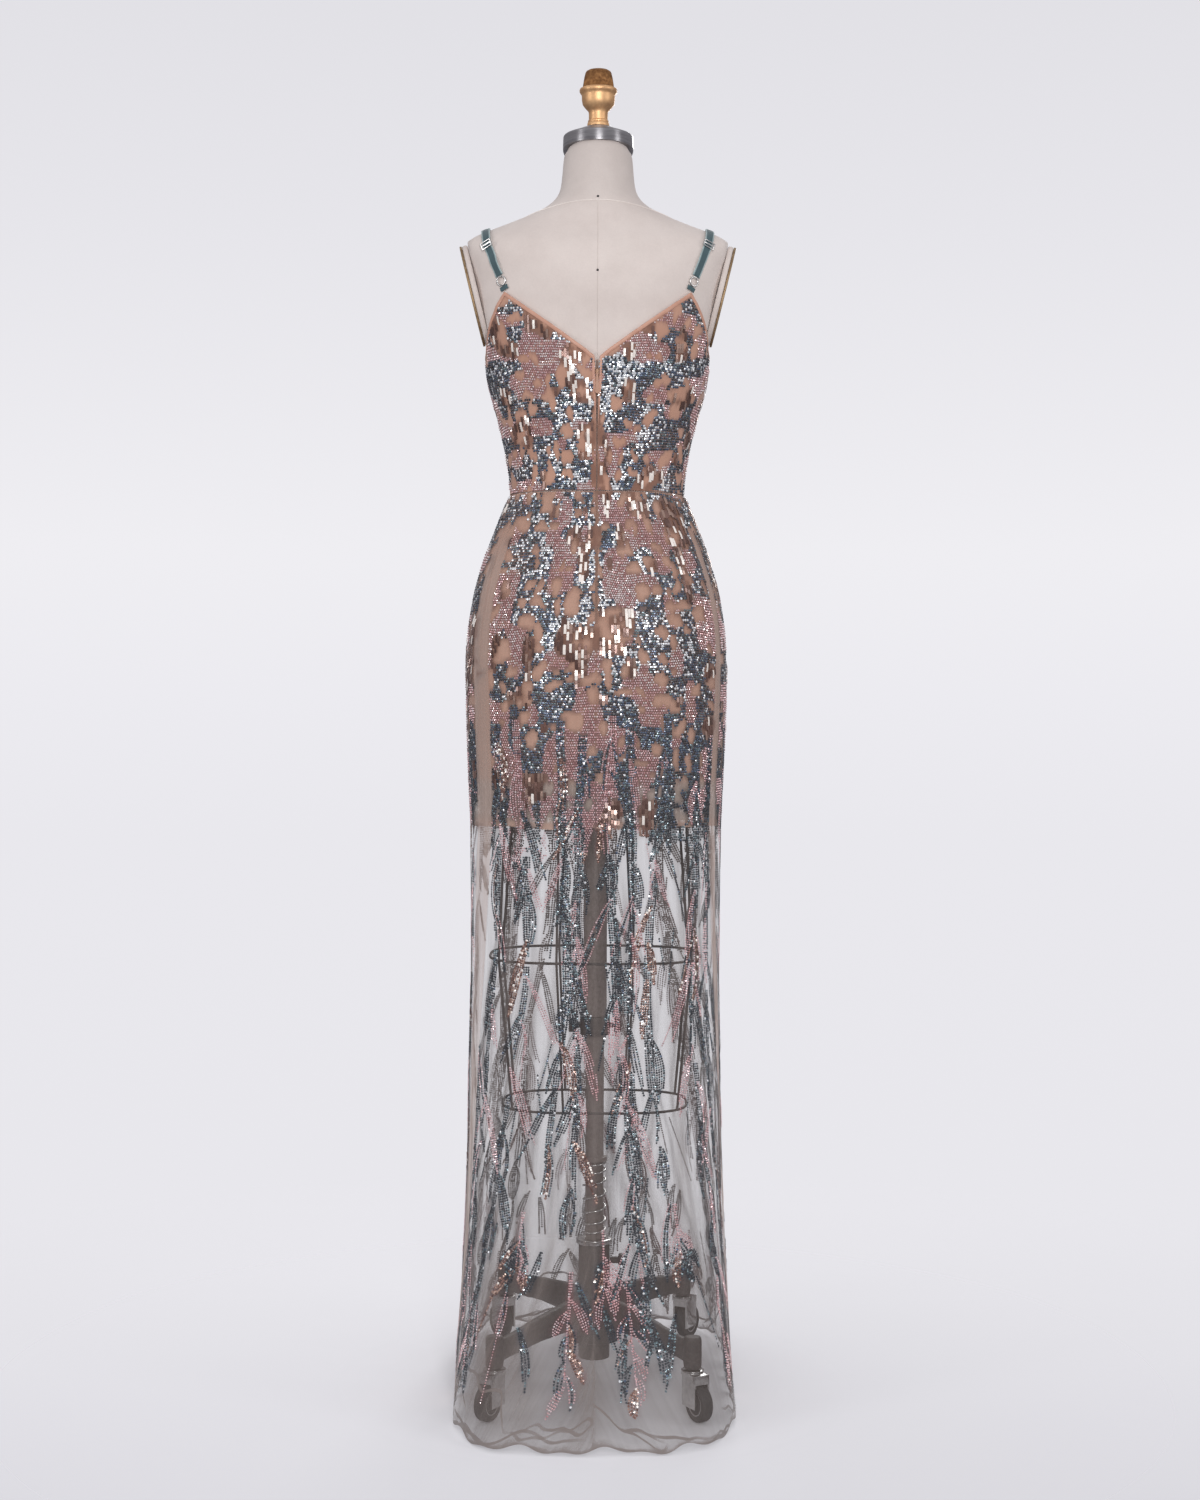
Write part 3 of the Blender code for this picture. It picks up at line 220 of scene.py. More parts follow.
def smoothstep(low, high, value):
    t = np.clip((np.asarray(value, float) - low) / (high - low), 0.0, 1.0)
    return t * t * (3 - 2 * t)


def place(angle, height, reach):
    """Points at angles, heights and distances from the axis, as an array with xyz last."""
    angle, height, reach = np.broadcast_arrays(angle, height, reach)
    return np.stack([reach * np.sin(angle), AXIS_Y - reach * np.cos(angle), height], axis=-1)


WAIST_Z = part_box("skirt_front")[1].z
LINING_HEM_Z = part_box("lining_back")[0].z
TORSO_FOOT_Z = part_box("torso")[0].z
skirt_skin = Skin(["skirt_back_left", "skirt_back_right", "skirt_front"], 0.002, WAIST_Z - 0.002)
lining_skin = Skin(["lining_back", "lining_front"], LINING_HEM_Z + 0.002, WAIST_Z - 0.002)
bodice_skin = Skin(["bodice_back_left", "bodice_back_right", "bodice_front"], WAIST_Z + 0.004, 1.49)
torso_skin = Skin(["torso"], WAIST_Z + 0.004, 1.49)
missing = np.isnan(bodice_skin.table)
coat = np.nanmedian((bodice_skin.table - torso_skin.table)[:6])
bodice_skin.table[missing] = torso_skin.table[missing] + coat
for skin in (skirt_skin, lining_skin):
    skin.table = np.where(np.isnan(skin.table), np.roll(skin.table, 1, 1), skin.table)
for skin in (skirt_skin, lining_skin, bodice_skin):
    skin.settle()
print("waist at", round(WAIST_Z, 4), " hem of the lining at", round(LINING_HEM_Z, 4))
print("bodice over the form:", round(coat / MM, 2), "mm")

# %% [markdown]
# ## The studio
#
# The backdrop is a pale lilac grey with no horizon. A wall would stand in the way of a camera that
# walks round, so the floor is a wide disc that fades out into the world's own colour. The world is
# also the soft room light. The backdrop's light band above eye level, and the floor's darker side
# towards the camera and towards +X, are painted light and shade. A large soft box high beside the
# camera is what makes the beads glint, together with the palest beads and foil strips, which are set
# thicker where the light falls as painted glints. Dark reflections between the glints come from the
# world being dimmer low down.

# %% World and floor
ROOM_LIGHT = 0.66
# The stops paint the studio's light and shade on the paper: lightest a little above the horizon, darker
# above it and below it, where it shows through the faded floor.
BACKDROP = (  # how high on the sky sphere, from 0 at its foot to 1 at its top, and the paper's colour
    (0.332, "#D8D7DD"),
    (0.351, "#DEDDE3"),
    (0.368, "#E4E3E8"),
    (0.392, "#E8E7EC"),
    (0.47, "#E9E8ED"),
    (0.50, "#ECEBF0"),
    (0.53, "#EFEEF2"),
    (0.60, "#E6E5EA"),
    (0.64, "#E2E1E6"),
)


FLOOR_R, FADE_END = 5.0, 1.4  # metres


def make_world():
    world = bpy.data.worlds.new("pale_studio")
    world.use_nodes = True
    tree = world.node_tree
    tree.nodes.clear()
    where = add(tree, "ShaderNodeTexCoord")
    height = add(tree, "ShaderNodeSeparateXYZ", {"Vector": where.outputs["Generated"]})
    share = add(tree, "ShaderNodeMath", {0: height.outputs["Z"], 1: 0.5, 2: 0.5}, operation="MULTIPLY_ADD")
    ramp = add(tree, "ShaderNodeValToRGB", {"Fac": share})
    put_stops(ramp.color_ramp, *BACKDROP)
    seen = add(tree, "ShaderNodeBackground", {"Color": ramp, "Strength": 1.0})
    room = add(tree, "ShaderNodeValToRGB", {"Fac": height.outputs["Z"]})
    put_stops(room.color_ramp, (0.0, "#9A989E"), (0.75, "#F4F3F7"))
    light = add(tree, "ShaderNodeBackground", {"Color": room, "Strength": ROOM_LIGHT})
    eye = add(tree, "ShaderNodeLightPath").outputs["Is Camera Ray"]
    mixed = add(tree, "ShaderNodeMixShader", {0: eye, 1: light, 2: seen})
    add(tree, "ShaderNodeOutputWorld", {"Surface": mixed})
    bpy.context.scene.world = world


def floor_paper():
    """Matt paper in painted shade, darker towards -Y and +X: solid by the gown, faded out far from it."""
    made, tree, out = new_material("backdrop_paper")
    where = add(tree, "ShaderNodeTexCoord").outputs["Object"]
    grain = add(tree, "ShaderNodeTexNoise", {"Vector": where, "Scale": 3.0, "Detail": 2.0})
    tone = add(tree, "ShaderNodeValToRGB", {"Fac": grain})
    put_stops(tone.color_ramp, (0.0, "#F9F8FC"), (1.0, "#FDFCFF"))
    clear = add(tree, "ShaderNodeBsdfTransparent")
    away = add(tree, "ShaderNodeVectorMath", {0: where}, operation="LENGTH")
    parts = add(tree, "ShaderNodeSeparateXYZ", {"Vector": where}).outputs
    # Painted shade: the paper darkens towards -Y, the camera's side, and towards +X.
    near = {"Value": parts["Y"], "From Min": -0.50, "From Max": 0.45, "To Min": 0.83, "To Max": 0.97}
    near = add(tree, "ShaderNodeMapRange", near)
    right = {"Value": parts["X"], "From Min": -0.20, "From Max": 0.30, "To Min": 1.0, "To Max": 0.92}
    right = add(tree, "ShaderNodeMapRange", right, interpolation_type="SMOOTHSTEP")
    painted_floor_shade = add(tree, "ShaderNodeMath", {0: near, 1: right}, operation="MULTIPLY")
    shade_scaling = {0: tone, "Scale": painted_floor_shade}
    shown = add(tree, "ShaderNodeVectorMath", shade_scaling, operation="SCALE")
    paper = add(tree, "ShaderNodeBsdfDiffuse", {"Color": shown})
    # From a short way out the paper turns see-through, so the backdrop's painted colour shows and the
    # gown's shadow on it is thinned.
    away = add(tree, "ShaderNodeMath", {0: away.outputs["Value"], 1: 1 / FADE_END}, operation="MULTIPLY")
    fade = add(tree, "ShaderNodeValToRGB", {"Fac": away})
    fade.color_ramp.elements[0].position, fade.color_ramp.elements[0].color = 0.13, (0.0, 0.0, 0.0, 1.0)
    fade.color_ramp.elements[1].color = (1.0, 1.0, 1.0, 1.0)
    fade.color_ramp.elements.new(0.25).color = (0.5, 0.5, 0.5, 1.0)
    mixed = add(tree, "ShaderNodeMixShader", {0: fade, 1: paper, 2: clear})
    tree.links.new(mixed.outputs[0], out.inputs["Surface"])
    return made


make_world()
turns = np.linspace(0, TAU, 97)[:-1]
rim = [(FLOOR_R * math.sin(a), FLOOR_R * math.cos(a), -0.5 * MM) for a in turns]
floor = mesh_piece("studio_floor", rim, [tuple(reversed(range(len(rim))))], smooth=False)
floor.data.materials.append(floor_paper())

# %% Lights and camera
CAMERA_AWAY = 3.16  # from the form's axis
CAMERA_Z = 0.945
CAMERA_X = 0.0055
LONG_SIDE_PX, FOCAL_PX = 1500, 2300
SENSOR = 36.0  # millimetres
PITCH_DOWN, ROLL = 1.42, 0.21  # degrees


def soft_box(name, spot, target, size, power):
    data = bpy.data.lights.new(name, "AREA")
    data.shape = "RECTANGLE"
    data.size, data.size_y = size
    data.energy = power
    made = new_object(name, data)
    made.location = spot
    made.rotation_euler = (Vector(target) - Vector(spot)).to_track_quat("-Z", "Y").to_euler()


soft_box("key_light", (0.15, -3.2, 1.75), (0, 0, 1.05), (0.8, 1.0), 42.0)
soft_box("spark_light", (0.3, -3.3, 1.2), (0, 0, 1.2), (0.3, 0.4), 9.0)
soft_box("left_light", (-2.8, -1.6, 1.7), (0, 0, 1.0), (0.7, 1.8), 20.0)
soft_box("right_light", (2.8, -1.2, 1.9), (0, 0, 1.0), (0.7, 1.8), 15.0)
soft_box("front_light", (0.6, 3.2, 2.3), (0, 0, 1.0), (1.0, 1.2), 42.0)

camera = new_object("camera", bpy.data.cameras.new("camera"))
camera.data.sensor_width = SENSOR
camera.data.lens = SENSOR * FOCAL_PX / LONG_SIDE_PX
camera.location = (CAMERA_X, AXIS_Y - CAMERA_AWAY, CAMERA_Z)
look = Matrix.Rotation(math.radians(90 - PITCH_DOWN), 3, "X") @ Matrix.Rotation(math.radians(ROLL), 3, "Z")
camera.rotation_euler = look.to_euler()
bpy.context.scene.camera = camera
bpy.context.scene.view_settings.view_transform = "Standard"
print("lens:", round(camera.data.lens, 1), "mm")

# %% [markdown]
# ## Cloth over a hard form
#
# The form's torso is papier-mache covered in natural linen. Real linen has slubs, which are threads
# that thicken here and there, so two sets of bands at the thread spacing are bent a little by noise
# and set how deep the bump is. The weave is drawn at 0.9 mm, about twice its real pitch, because
# finer threads would blur to nothing.

# %% Linen, for the torso and the arm plates
LINEN_PITCH = 0.9 * MM


def weave_height(tree, where, pitch, wander):
    """Crossed bands at a thread spacing: level bands, and upright ones on both side directions."""
    thread = {"Vector": where, "Scale": TAU / 20 / pitch, "Distortion": wander, "Detail": 1.0}
    level, along_x, along_y = (
        add(tree, "ShaderNodeTexWave", thread, bands_direction=way).outputs["Fac"] for way in "ZXY"
    )
    upright = add(tree, "ShaderNodeMath", {0: along_x, 1: along_y}, operation="MAXIMUM").outputs[0]
    return add(tree, "ShaderNodeMath", {0: level, 1: upright}, operation="ADD").outputs[0]


# The linen is darker from the shoulders up: painted shade.
NECK_PAINTED_SHADE = {"From Min": 1.585, "From Max": 1.63, "To Min": 1.0, "To Max": 0.88}


def linen(name, light, dark):
    """Undyed linen: dry, matt, a little blotchy from handling, and darker from the shoulders up in painted
    shade.
    """
    made, tree, out = new_material(name)
    where = add(tree, "ShaderNodeTexCoord").outputs["Object"]
    blotch = {"Vector": where, "Scale": 9.0, "Detail": 6.0, "Roughness": 0.6}
    blotch = add(tree, "ShaderNodeTexNoise", blotch)
    tone = add(tree, "ShaderNodeValToRGB", {"Fac": blotch})
    put_stops(tone.color_ramp, (0.30, dark), (0.62, light))
    slub = add(tree, "ShaderNodeTexNoise", {"Vector": where, "Scale": 420.0, "Detail": 2.0})
    threads = weave_height(tree, where, LINEN_PITCH, 0.6)
    thread_tone = add(
        tree, "ShaderNodeMapRange", {"Value": threads, "From Max": 2.0, "To Min": 0.985, "To Max": 1.01}
    )
    speck = add(tree, "ShaderNodeMapRange", {"Value": slub, "To Min": 0.95, "To Max": 1.04})
    depth = add(tree, "ShaderNodeMath", {0: thread_tone, 1: speck}, operation="MULTIPLY")
    # Painted shade: the linen darkens from the shoulders up.
    height = add(tree, "ShaderNodeSeparateXYZ", {"Vector": where}).outputs["Z"]
    greyer = {"Value": height, **NECK_PAINTED_SHADE}
    neck_shade = add(tree, "ShaderNodeMapRange", greyer, interpolation_type="SMOOTHSTEP")
    depth = add(tree, "ShaderNodeMath", {0: depth, 1: neck_shade}, operation="MULTIPLY")
    colour = add(
        tree, "ShaderNodeVectorMath", {0: tone, "Scale": depth}, operation="SCALE"
    )
    bump = add(tree, "ShaderNodeBump", {"Height": threads, "Strength": 0.07, "Distance": 0.2 * MM})
    look = {"Base Color": colour, "Roughness": 0.9, "Normal": bump}
    look.update({"Specular IOR Level": 0.25, "Sheen Weight": 0.15})
    cloth = add(tree, "ShaderNodeBsdfPrincipled", look)
    tree.links.new(cloth.outputs[0], out.inputs["Surface"])
    return made


torso_linen = linen("natural_linen", "#E1D6D0", "#D3C7C1")

# %% [markdown]
# ## Metals of the form and its stand
#
# One recipe serves all the hard metals, because what tells them apart is colour, roughness and grain.
# Brass is yellow and fairly smooth, the neck cap is brushed steel, and the stand is cast iron under
# worn black paint. Paint isn't metallic, and neither is rubber, so they set that share to nothing.

# %% Brass, steel, nickel and painted iron


def metal(name, light, dark, roughness, grain, strength=0.05, metallic=1.0, stretch=(1, 1, 1), brushed=0.0):
    """Bare or painted metal: its tone and its roughness both follow a fine grain."""
    made, tree, out = new_material(name)
    where = add(tree, "ShaderNodeTexCoord").outputs["Object"]
    turned = add(tree, "ShaderNodeMapping", {"Vector": where, "Scale": stretch}).outputs[0]
    wear = {"Vector": turned, "Scale": grain, "Detail": 5.0, "Roughness": 0.6}
    wear = add(tree, "ShaderNodeTexNoise", wear)
    tone = add(tree, "ShaderNodeValToRGB", {"Fac": wear})
    put_stops(tone.color_ramp, (0.33, dark), (0.63, light))
    worn = {"Value": wear, "To Min": roughness * 0.75, "To Max": roughness * 1.3}
    rough = add(tree, "ShaderNodeMapRange", worn)
    bump = add(tree, "ShaderNodeBump", {"Height": wear, "Strength": strength, "Distance": MM})
    look = {"Base Color": tone, "Metallic": metallic, "Roughness": rough}
    shader = add(tree, "ShaderNodeBsdfPrincipled", {**look, "Normal": bump})
    if brushed:  # lines round the lathe's axis draw a highlight out along it
        round_axis = add(tree, "ShaderNodeTangent", direction_type="RADIAL", axis="Z")
        tree.links.new(round_axis.outputs[0], shader.inputs["Tangent"])
        shader.inputs["Anisotropic"].default_value = brushed
        shader.inputs["Anisotropic Rotation"].default_value = 0.25
    tree.links.new(shader.outputs[0], out.inputs["Surface"])
    return made


brass = metal("turned_brass", "#F8CC9A", "#E2B284", 0.50, grain=90.0)
rim_brass = metal("rim_brass", "#B49C7E", "#957C5E", 0.60, grain=130.0, strength=0.12)
old_brass = metal("knurled_brass", "#B08256", "#845C3C", 0.50, grain=240.0, strength=0.25)
cap_steel = metal("brushed_steel", "#B4B2B5", "#8D8B8E", 0.36, grain=30.0, stretch=(1, 1, 14), brushed=0.9)
nickel = metal("plated_nickel", "#DAD8D6", "#BDBBBA", 0.20, grain=150.0)
iron = metal("painted_cast_iron", "#544D4B", "#403B39", 0.50, grain=220.0, strength=0.35, metallic=0.0)
pole_paint = metal("grey_pole_paint", "#958A86", "#80756F", 0.45, grain=200.0, strength=0.15, metallic=0.0)
rubber = metal("caster_rubber", "#353333", "#282727", 0.62, grain=260.0, strength=0.2, metallic=0.0)
hub_zinc = metal("cast_zinc", "#C6C3C2", "#ABA8A8", 0.38, grain=120.0)

# %% [markdown]
# ## The torso, softened
#
# A solid made of flat facets shows them in its shading. Rebuilding a copy of it with small voxels and
# then relaxing the points takes the facets away, and keeps the form where it is. Near the arm plates
# and the foot the relaxing is weak, so those edges stay crisp. The result stands for the solid.

# %% Copies of the solids


def change_mesh(data, change):
    """Runs one change on a mesh's editable form."""
    work = bmesh.new()
    work.from_mesh(data)
    change(work)
    work.to_mesh(data)
    work.free()


def merged_copy(node_name, name):
    """A node's mesh with its loose triangles merged, as a new object."""
    data = NODES[node_name].data.copy()
    data.name = name
    change_mesh(data, lambda work: bmesh.ops.remove_doubles(work, verts=work.verts, dist=1e-6))
    return new_object(name, data)


def apply_modifiers(piece):
    graph = bpy.context.evaluated_depsgraph_get()
    graph.update()
    shown = bpy.data.meshes.new_from_object(piece.evaluated_get(graph), depsgraph=graph)
    piece.modifiers.clear()
    piece.data = shown
    return piece


def dress(piece, material, slot, *node_names, body="form"):
    """The last steps of every piece: its material, its body and the nodes it stands for; its slot is not
    used.
    """
    piece.data.materials.clear()
    piece.data.materials.append(material)
    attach(piece, NODES[node_names[0]]["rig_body"] if node_names else body)
    if node_names:
        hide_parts(*node_names)
    return piece


def neighbours_mean(points, edges, counts):
    total = np.zeros_like(points)
    np.add.at(total, edges[:, 0], points[edges[:, 1]])
    np.add.at(total, edges[:, 1], points[edges[:, 0]])
    return total / counts[:, None]


FREE_ROUNDS = 3  # of relaxing, before the firm edges are spared


def soften(node_name, name, voxel, rounds, crisp=None):
    """A voxel-remeshed and relaxed copy; crisp maps its points to 0 for firm edges and 1 elsewhere."""
    piece = merged_copy(node_name, name)
    remesh = piece.modifiers.new("voxels", "REMESH")
    remesh.mode = "VOXEL"
    remesh.voxel_size = voxel
    apply_modifiers(piece)
    data = piece.data
    points = np.empty(len(data.vertices) * 3)
    data.vertices.foreach_get("co", points)
    points = points.reshape(-1, 3)
    edges = np.empty(len(data.edges) * 2, int)
    data.edges.foreach_get("vertices", edges)
    edges = edges.reshape(-1, 2)
    counts = np.bincount(edges.ravel(), minlength=len(points))
    weight = np.ones(len(points)) if crisp is None else crisp(points)
    for k in range(rounds):
        pull = np.where(k < FREE_ROUNDS, 0.5, 0.5 * weight)[:, None]
        points = points + (neighbours_mean(points, edges, counts) - points) * pull
    data.vertices.foreach_set("co", points.ravel())
    data.shade_smooth()
    data.update()
    return piece


def torso_edges(points):
    """0 at an arm plate's plane and at the foot, rising to 1 some 20 to 25 mm away."""
    near = np.abs(points[:, 2] - TORSO_FOOT_Z) + 0.010
    for word in ("left", "right"):
        plate = NODES[f"arm_plate_{word}"].data
        middle = np.mean([tuple(v.co) for v in plate.vertices], axis=0)
        longest = max(plate.polygons, key=lambda p: p.area).normal
        apart = np.abs((points - middle) @ np.array(longest)) + 0.004
        beside = np.linalg.norm(points - middle, axis=1) < 0.11
        near = np.where(beside, np.minimum(near, apart), near)
    return np.clip((near - 0.012) / 0.018, 0.0, 1.0)


torso = soften("torso", "torso_cover", 5.9 * MM, 14, torso_edges)
dress(torso, torso_linen, "form_linen", "torso")
base = soften("cast_base", "base_casting", 2.9 * MM, 4)
dress(base, iron, "stand_iron", "cast_base")
print("torso:", len(torso.data.polygons), "faces; base:", len(base.data.polygons))

# %% [markdown]
# ## Hard pieces with broken edges
#
# No machined edge is perfectly sharp, and a narrow bevel catches a line of light that makes a small
# part read as solid metal. Flat neighbours are joined into one face first, so that the bevel follows
# real edges only.

# %% Beveled copies of the hard nodes


def join_flat_faces(work):
    bmesh.ops.dissolve_limit(work, angle_limit=math.radians(1.0), verts=work.verts, edges=work.edges)


def broken_edges(node_name, width):
    piece = merged_copy(node_name, f"{node_name}_finished")
    change_mesh(piece.data, join_flat_faces)
    if width:
        bevel = piece.modifiers.new("edges", "BEVEL")
        bevel.width = width
        bevel.segments = 2
        bevel.limit_method = "ANGLE"
        bevel.angle_limit = math.radians(25.0)
        bevel.harden_normals = False
        apply_modifiers(piece)
    piece.data.shade_smooth()
    piece.data.set_sharp_from_angle(angle=math.radians(35.0))
    return piece


HARD_PARTS = (
    ("pole_upper", 0.6 * MM, pole_paint, "stand_iron"),
    ("pole_collar", 0.6 * MM, iron, "stand_iron"),
    ("pole_lower", 0.0, pole_paint, "stand_iron"),
    ("lower_tube", 0.5 * MM, iron, "stand_iron"),
    ("tube_ring", 0.8 * MM, nickel, "silver_metal"),
    ("clamp_knob", 1.0 * MM, iron, "stand_iron"),
    ("arm_plate_left", 2.4 * MM, torso_linen, "form_linen"),
    ("arm_plate_right", 2.4 * MM, torso_linen, "form_linen"),
    ("arm_rim_left", 0.7 * MM, rim_brass, "brass"),
    ("arm_rim_right", 0.7 * MM, rim_brass, "brass"),
)
for part, width, material, slot in HARD_PARTS:
    dress(broken_edges(part, width), material, slot, part)
print("hard parts finished:", len(HARD_PARTS))

# %% [markdown]
# ## Turned pieces
#
# A finial, a wheel and a hub all come off a lathe, so one function turns an outline round an axis.
# The outline runs from the top down at +X, which makes the faces point outwards. The finial has a
# knurled drum over a bright collar and bowl, and the drum's ribs are real geometry.

# %% Lathe


def lathe(name, outline, centre, axis=(0, 0, 1), sides=48, ribs=0, rib_depth=0.0, ribbed=(0, 0)):
    """Turns (radius, height) points round an axis; rings in the ribbed span get upright ribs."""
    turn = Vector((0, 0, 1)).rotation_difference(Vector(axis)).to_matrix()
    rings = []
    steps = np.arange(sides) * TAU / sides
    for k, (radius, height) in enumerate(outline):
        wave = rib_depth * np.cos(steps * ribs) if ribbed[0] <= k < ribbed[1] else 0.0
        reach = radius + wave
        ring = np.stack([reach * np.cos(steps), reach * np.sin(steps), steps * 0 + height])
        rings.append((np.array(turn) @ ring).T + np.array(centre))
    faces = []
    for r in range(len(rings) - 1):
        for s in range(sides):
            a, b = r * sides + s, r * sides + (s + 1) % sides
            faces.append((a, a + sides, b + sides, b))
    faces.append(tuple(range(sides)))
    last = (len(rings) - 1) * sides
    faces.append(tuple(reversed(range(last, last + sides))))
    piece = mesh_piece(name, np.concatenate(rings), faces)
    piece.data.set_sharp_from_angle(angle=math.radians(38.0))
    return piece


def node_middle(node_name):
    low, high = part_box(node_name)
    return (low + high) / 2


# %% The finial, in two metals
FINIAL_TOP = (  # radius, height: a knurled drum with a domed lid
    (0.0030, 1.8000), (0.0090, 1.7996), (0.0140, 1.7985), (0.0168, 1.7968), (0.0179, 1.7950),
    (0.0191, 1.7890), (0.0203, 1.7820), (0.0213, 1.7748), (0.0100, 1.7740),
)
FINIAL_BODY = (  # a rolled collar, a bowl, a waist with a ring, and the foot
    (0.0100, 1.7742), (0.0232, 1.7740), (0.0252, 1.7730), (0.0259, 1.7712), (0.0257, 1.7690),
    (0.0246, 1.7672), (0.0230, 1.7650), (0.0228, 1.7632), (0.0226, 1.7575), (0.0215, 1.7520),
    (0.0188, 1.7482), (0.0156, 1.7448), (0.0134, 1.7424), (0.0130, 1.7390), (0.0130, 1.7310),
    (0.0140, 1.7300), (0.0144, 1.7288), (0.0140, 1.7276), (0.0148, 1.7266), (0.0151, 1.7252),
    (0.0151, 1.7221), (0.0020, 1.7220),
)
spot = node_middle("finial")
finial_foot = (spot.x, spot.y, 0.0)
drum = lathe("finial_drum", FINIAL_TOP, finial_foot, sides=144, ribs=72, rib_depth=0.25 * MM, ribbed=(5, 8))
dress(drum, old_brass, "brass", "finial")
bowl = lathe("finial_bowl", FINIAL_BODY, finial_foot, sides=64)
dress(bowl, brass, "brass", "finial")
print("finial faces:", len(drum.data.polygons) + len(bowl.data.polygons))

# %% [markdown]
# ## Wires, rings and the spring
#
# A bent wire is a curve with a round bevel. The two cage rings are rounded rectangles, which a
# superellipse draws in one line, and the spring is a helix whose end turns close up, as a wound
# compression spring's do.

# %% Round wire


def wire(name, points, radius, cyclic=False, sides=8):
    data = bpy.data.curves.new(name, "CURVE")
    data.dimensions = "3D"
    data.bevel_depth = radius
    data.bevel_resolution = max(sides // 4, 1)
    data.use_fill_caps = not cyclic
    spline = data.splines.new("POLY")
    spline.points.add(len(points) - 1)
    for slot, (x, y, z) in zip(spline.points, points):
        slot.co = (x, y, z, 1.0)
    spline.use_cyclic_u = cyclic
    draft = new_object(f"{name}_curve", data)
    bpy.context.view_layer.update()
    graph = bpy.context.evaluated_depsgraph_get()
    mesh = bpy.data.meshes.new_from_object(draft.evaluated_get(graph), depsgraph=graph)
    mesh.name = name
    mesh.shade_smooth()
    bpy.data.objects.remove(draft)
    return new_object(name, mesh)


def super_ring(node_name, wire_radius, power=3.0, count=112):
    """The middle line of a cage ring, read from its node's box."""
    low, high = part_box(node_name)
    middle, half = (low + high) / 2, (high - low) / 2
    points = []
    for k in range(count):
        c, s = math.cos(TAU * k / count), math.sin(TAU * k / count)
        x = math.copysign(abs(c) ** (2 / power), c) * (half.x - wire_radius)
        y = math.copysign(abs(s) ** (2 / power), s) * (half.y - wire_radius)
        points.append((middle.x + x, middle.y + y, middle.z))
    return points


CAGE_WIRE_R = 1.8 * MM
for word in ("upper", "lower"):
    ring_node = f"cage_ring_{word}"
    ring = wire(f"cage_ring_{word}_wire", super_ring(ring_node, CAGE_WIRE_R), CAGE_WIRE_R, cyclic=True)
    dress(ring, iron, "stand_iron", ring_node)
for number in range(1, 9):
    upright = f"cage_wire_{number}"
    dress(broken_edges(upright, 0.0), iron, "stand_iron", upright)

SPRING_WIRE_R = 1.4 * MM
SPRING_TURNS = 7
END_CROWDING = 0.055  # how far the end turns close up, as a share of the spring's length
low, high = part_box("buffer_spring")
spring_axis = (low + high) / 2
reach = (high.x - low.x) / 2 - SPRING_WIRE_R
coil = []
for k in range(SPRING_TURNS * 24 + 1):
    share = k / (SPRING_TURNS * 24)
    rise = share - END_CROWDING * math.sin(TAU * share)
    angle = TAU * SPRING_TURNS * share
    height = low.z + SPRING_WIRE_R + rise * (high.z - low.z - 2 * SPRING_WIRE_R)
    x, y = spring_axis.x + reach * math.cos(angle), spring_axis.y + reach * math.sin(angle)
    coil.append((x, y, height))
dress(wire("spring_coil", coil, SPRING_WIRE_R), nickel, "silver_metal", "buffer_spring")
print("spring:", SPRING_TURNS, "turns,", len(coil), "points")

# %% [markdown]
# ## Casters
#
# Each wheel has a rounded rubber tyre on a lighter zinc hub with a raised rim and an axle head. The
# wheel's own axis is a joint of the frame, so its place and direction come from there, and the hub
# and tyre turn with it.

# %% Wheels and forks
WHEEL_R = 24.0 * MM
TYRE = (  # radius, height: one side, from the hub to the middle of the tread
    (0.0150, 0.0066),
    (0.0178, 0.0080),
    (0.0206, 0.0083),
    (0.0226, 0.0072),
    (0.0237, 0.0052),
    (WHEEL_R - 0.00015, 0.0022),
)
HUB = (
    (0.0015, 0.0084), (0.0034, 0.0082), (0.0040, 0.0070), (0.0044, 0.0056), (0.0130, 0.0052),
    (0.0142, 0.0070), (0.0156, 0.0072), (0.0160, 0.0060),
)


def both_sides(half):
    """One side of a wheel's outline and its mirror image."""
    return [*half, *((radius, -height) for radius, height in reversed(half))]


wheel_axis = {joint["name"]: joint for joint in frame["joints"]}
for number in range(1, 5):
    spin = wheel_axis[f"wheel_{number}_spin"]
    middle = node_middle(f"caster_wheel_{number}")
    tyre = lathe(f"caster_tyre_{number}", both_sides(TYRE), middle, spin["axis"], sides=56)
    dress(tyre, rubber, "caster_tyre", f"caster_wheel_{number}")
    hub = lathe(f"caster_hub_{number}", both_sides(HUB), middle, spin["axis"], sides=40)
    dress(hub, hub_zinc, "caster_tyre", f"caster_wheel_{number}")
    fork = f"caster_fork_{number}"
    dress(broken_edges(fork, 0.5 * MM), nickel, "silver_metal", fork)
first_axis = [round(v, 3) for v in wheel_axis["wheel_1_spin"]["axis"]]
print("casters finished: 4, axis of the first wheel:", first_axis)

# %% [markdown]
# ## The neck cap
#
# A spun steel lid sits on the neck, which leans forward, so each of its rings is level from side to
# side and tips towards the front. The rings are drawn as the neck's own sections are, and the tip
# fades out to a flat top under the finial. Spinning leaves fine lines round it, so its grain is
# stretched level.

# %% Cap
CAP_AXIS_Y = AXIS_Y + 0.018
CAP = (  # height, radius, tip to the front in degrees
    (1.6894, 0.0470, 16.0), (1.6894, 0.0482, 16.0), (1.6960, 0.0482, 13.0), (1.7020, 0.0481, 10.0),
    (1.7066, 0.0479, 7.5), (1.7080, 0.0474, 6.5), (1.7092, 0.0460, 5.5), (1.7122, 0.0390, 4.0),
    (1.7158, 0.0300, 2.5), (1.7190, 0.0225, 1.0), (1.7216, 0.0155, 0.0), (1.7217, 0.0060, 0.0),
)
CAP_SIDES = 72


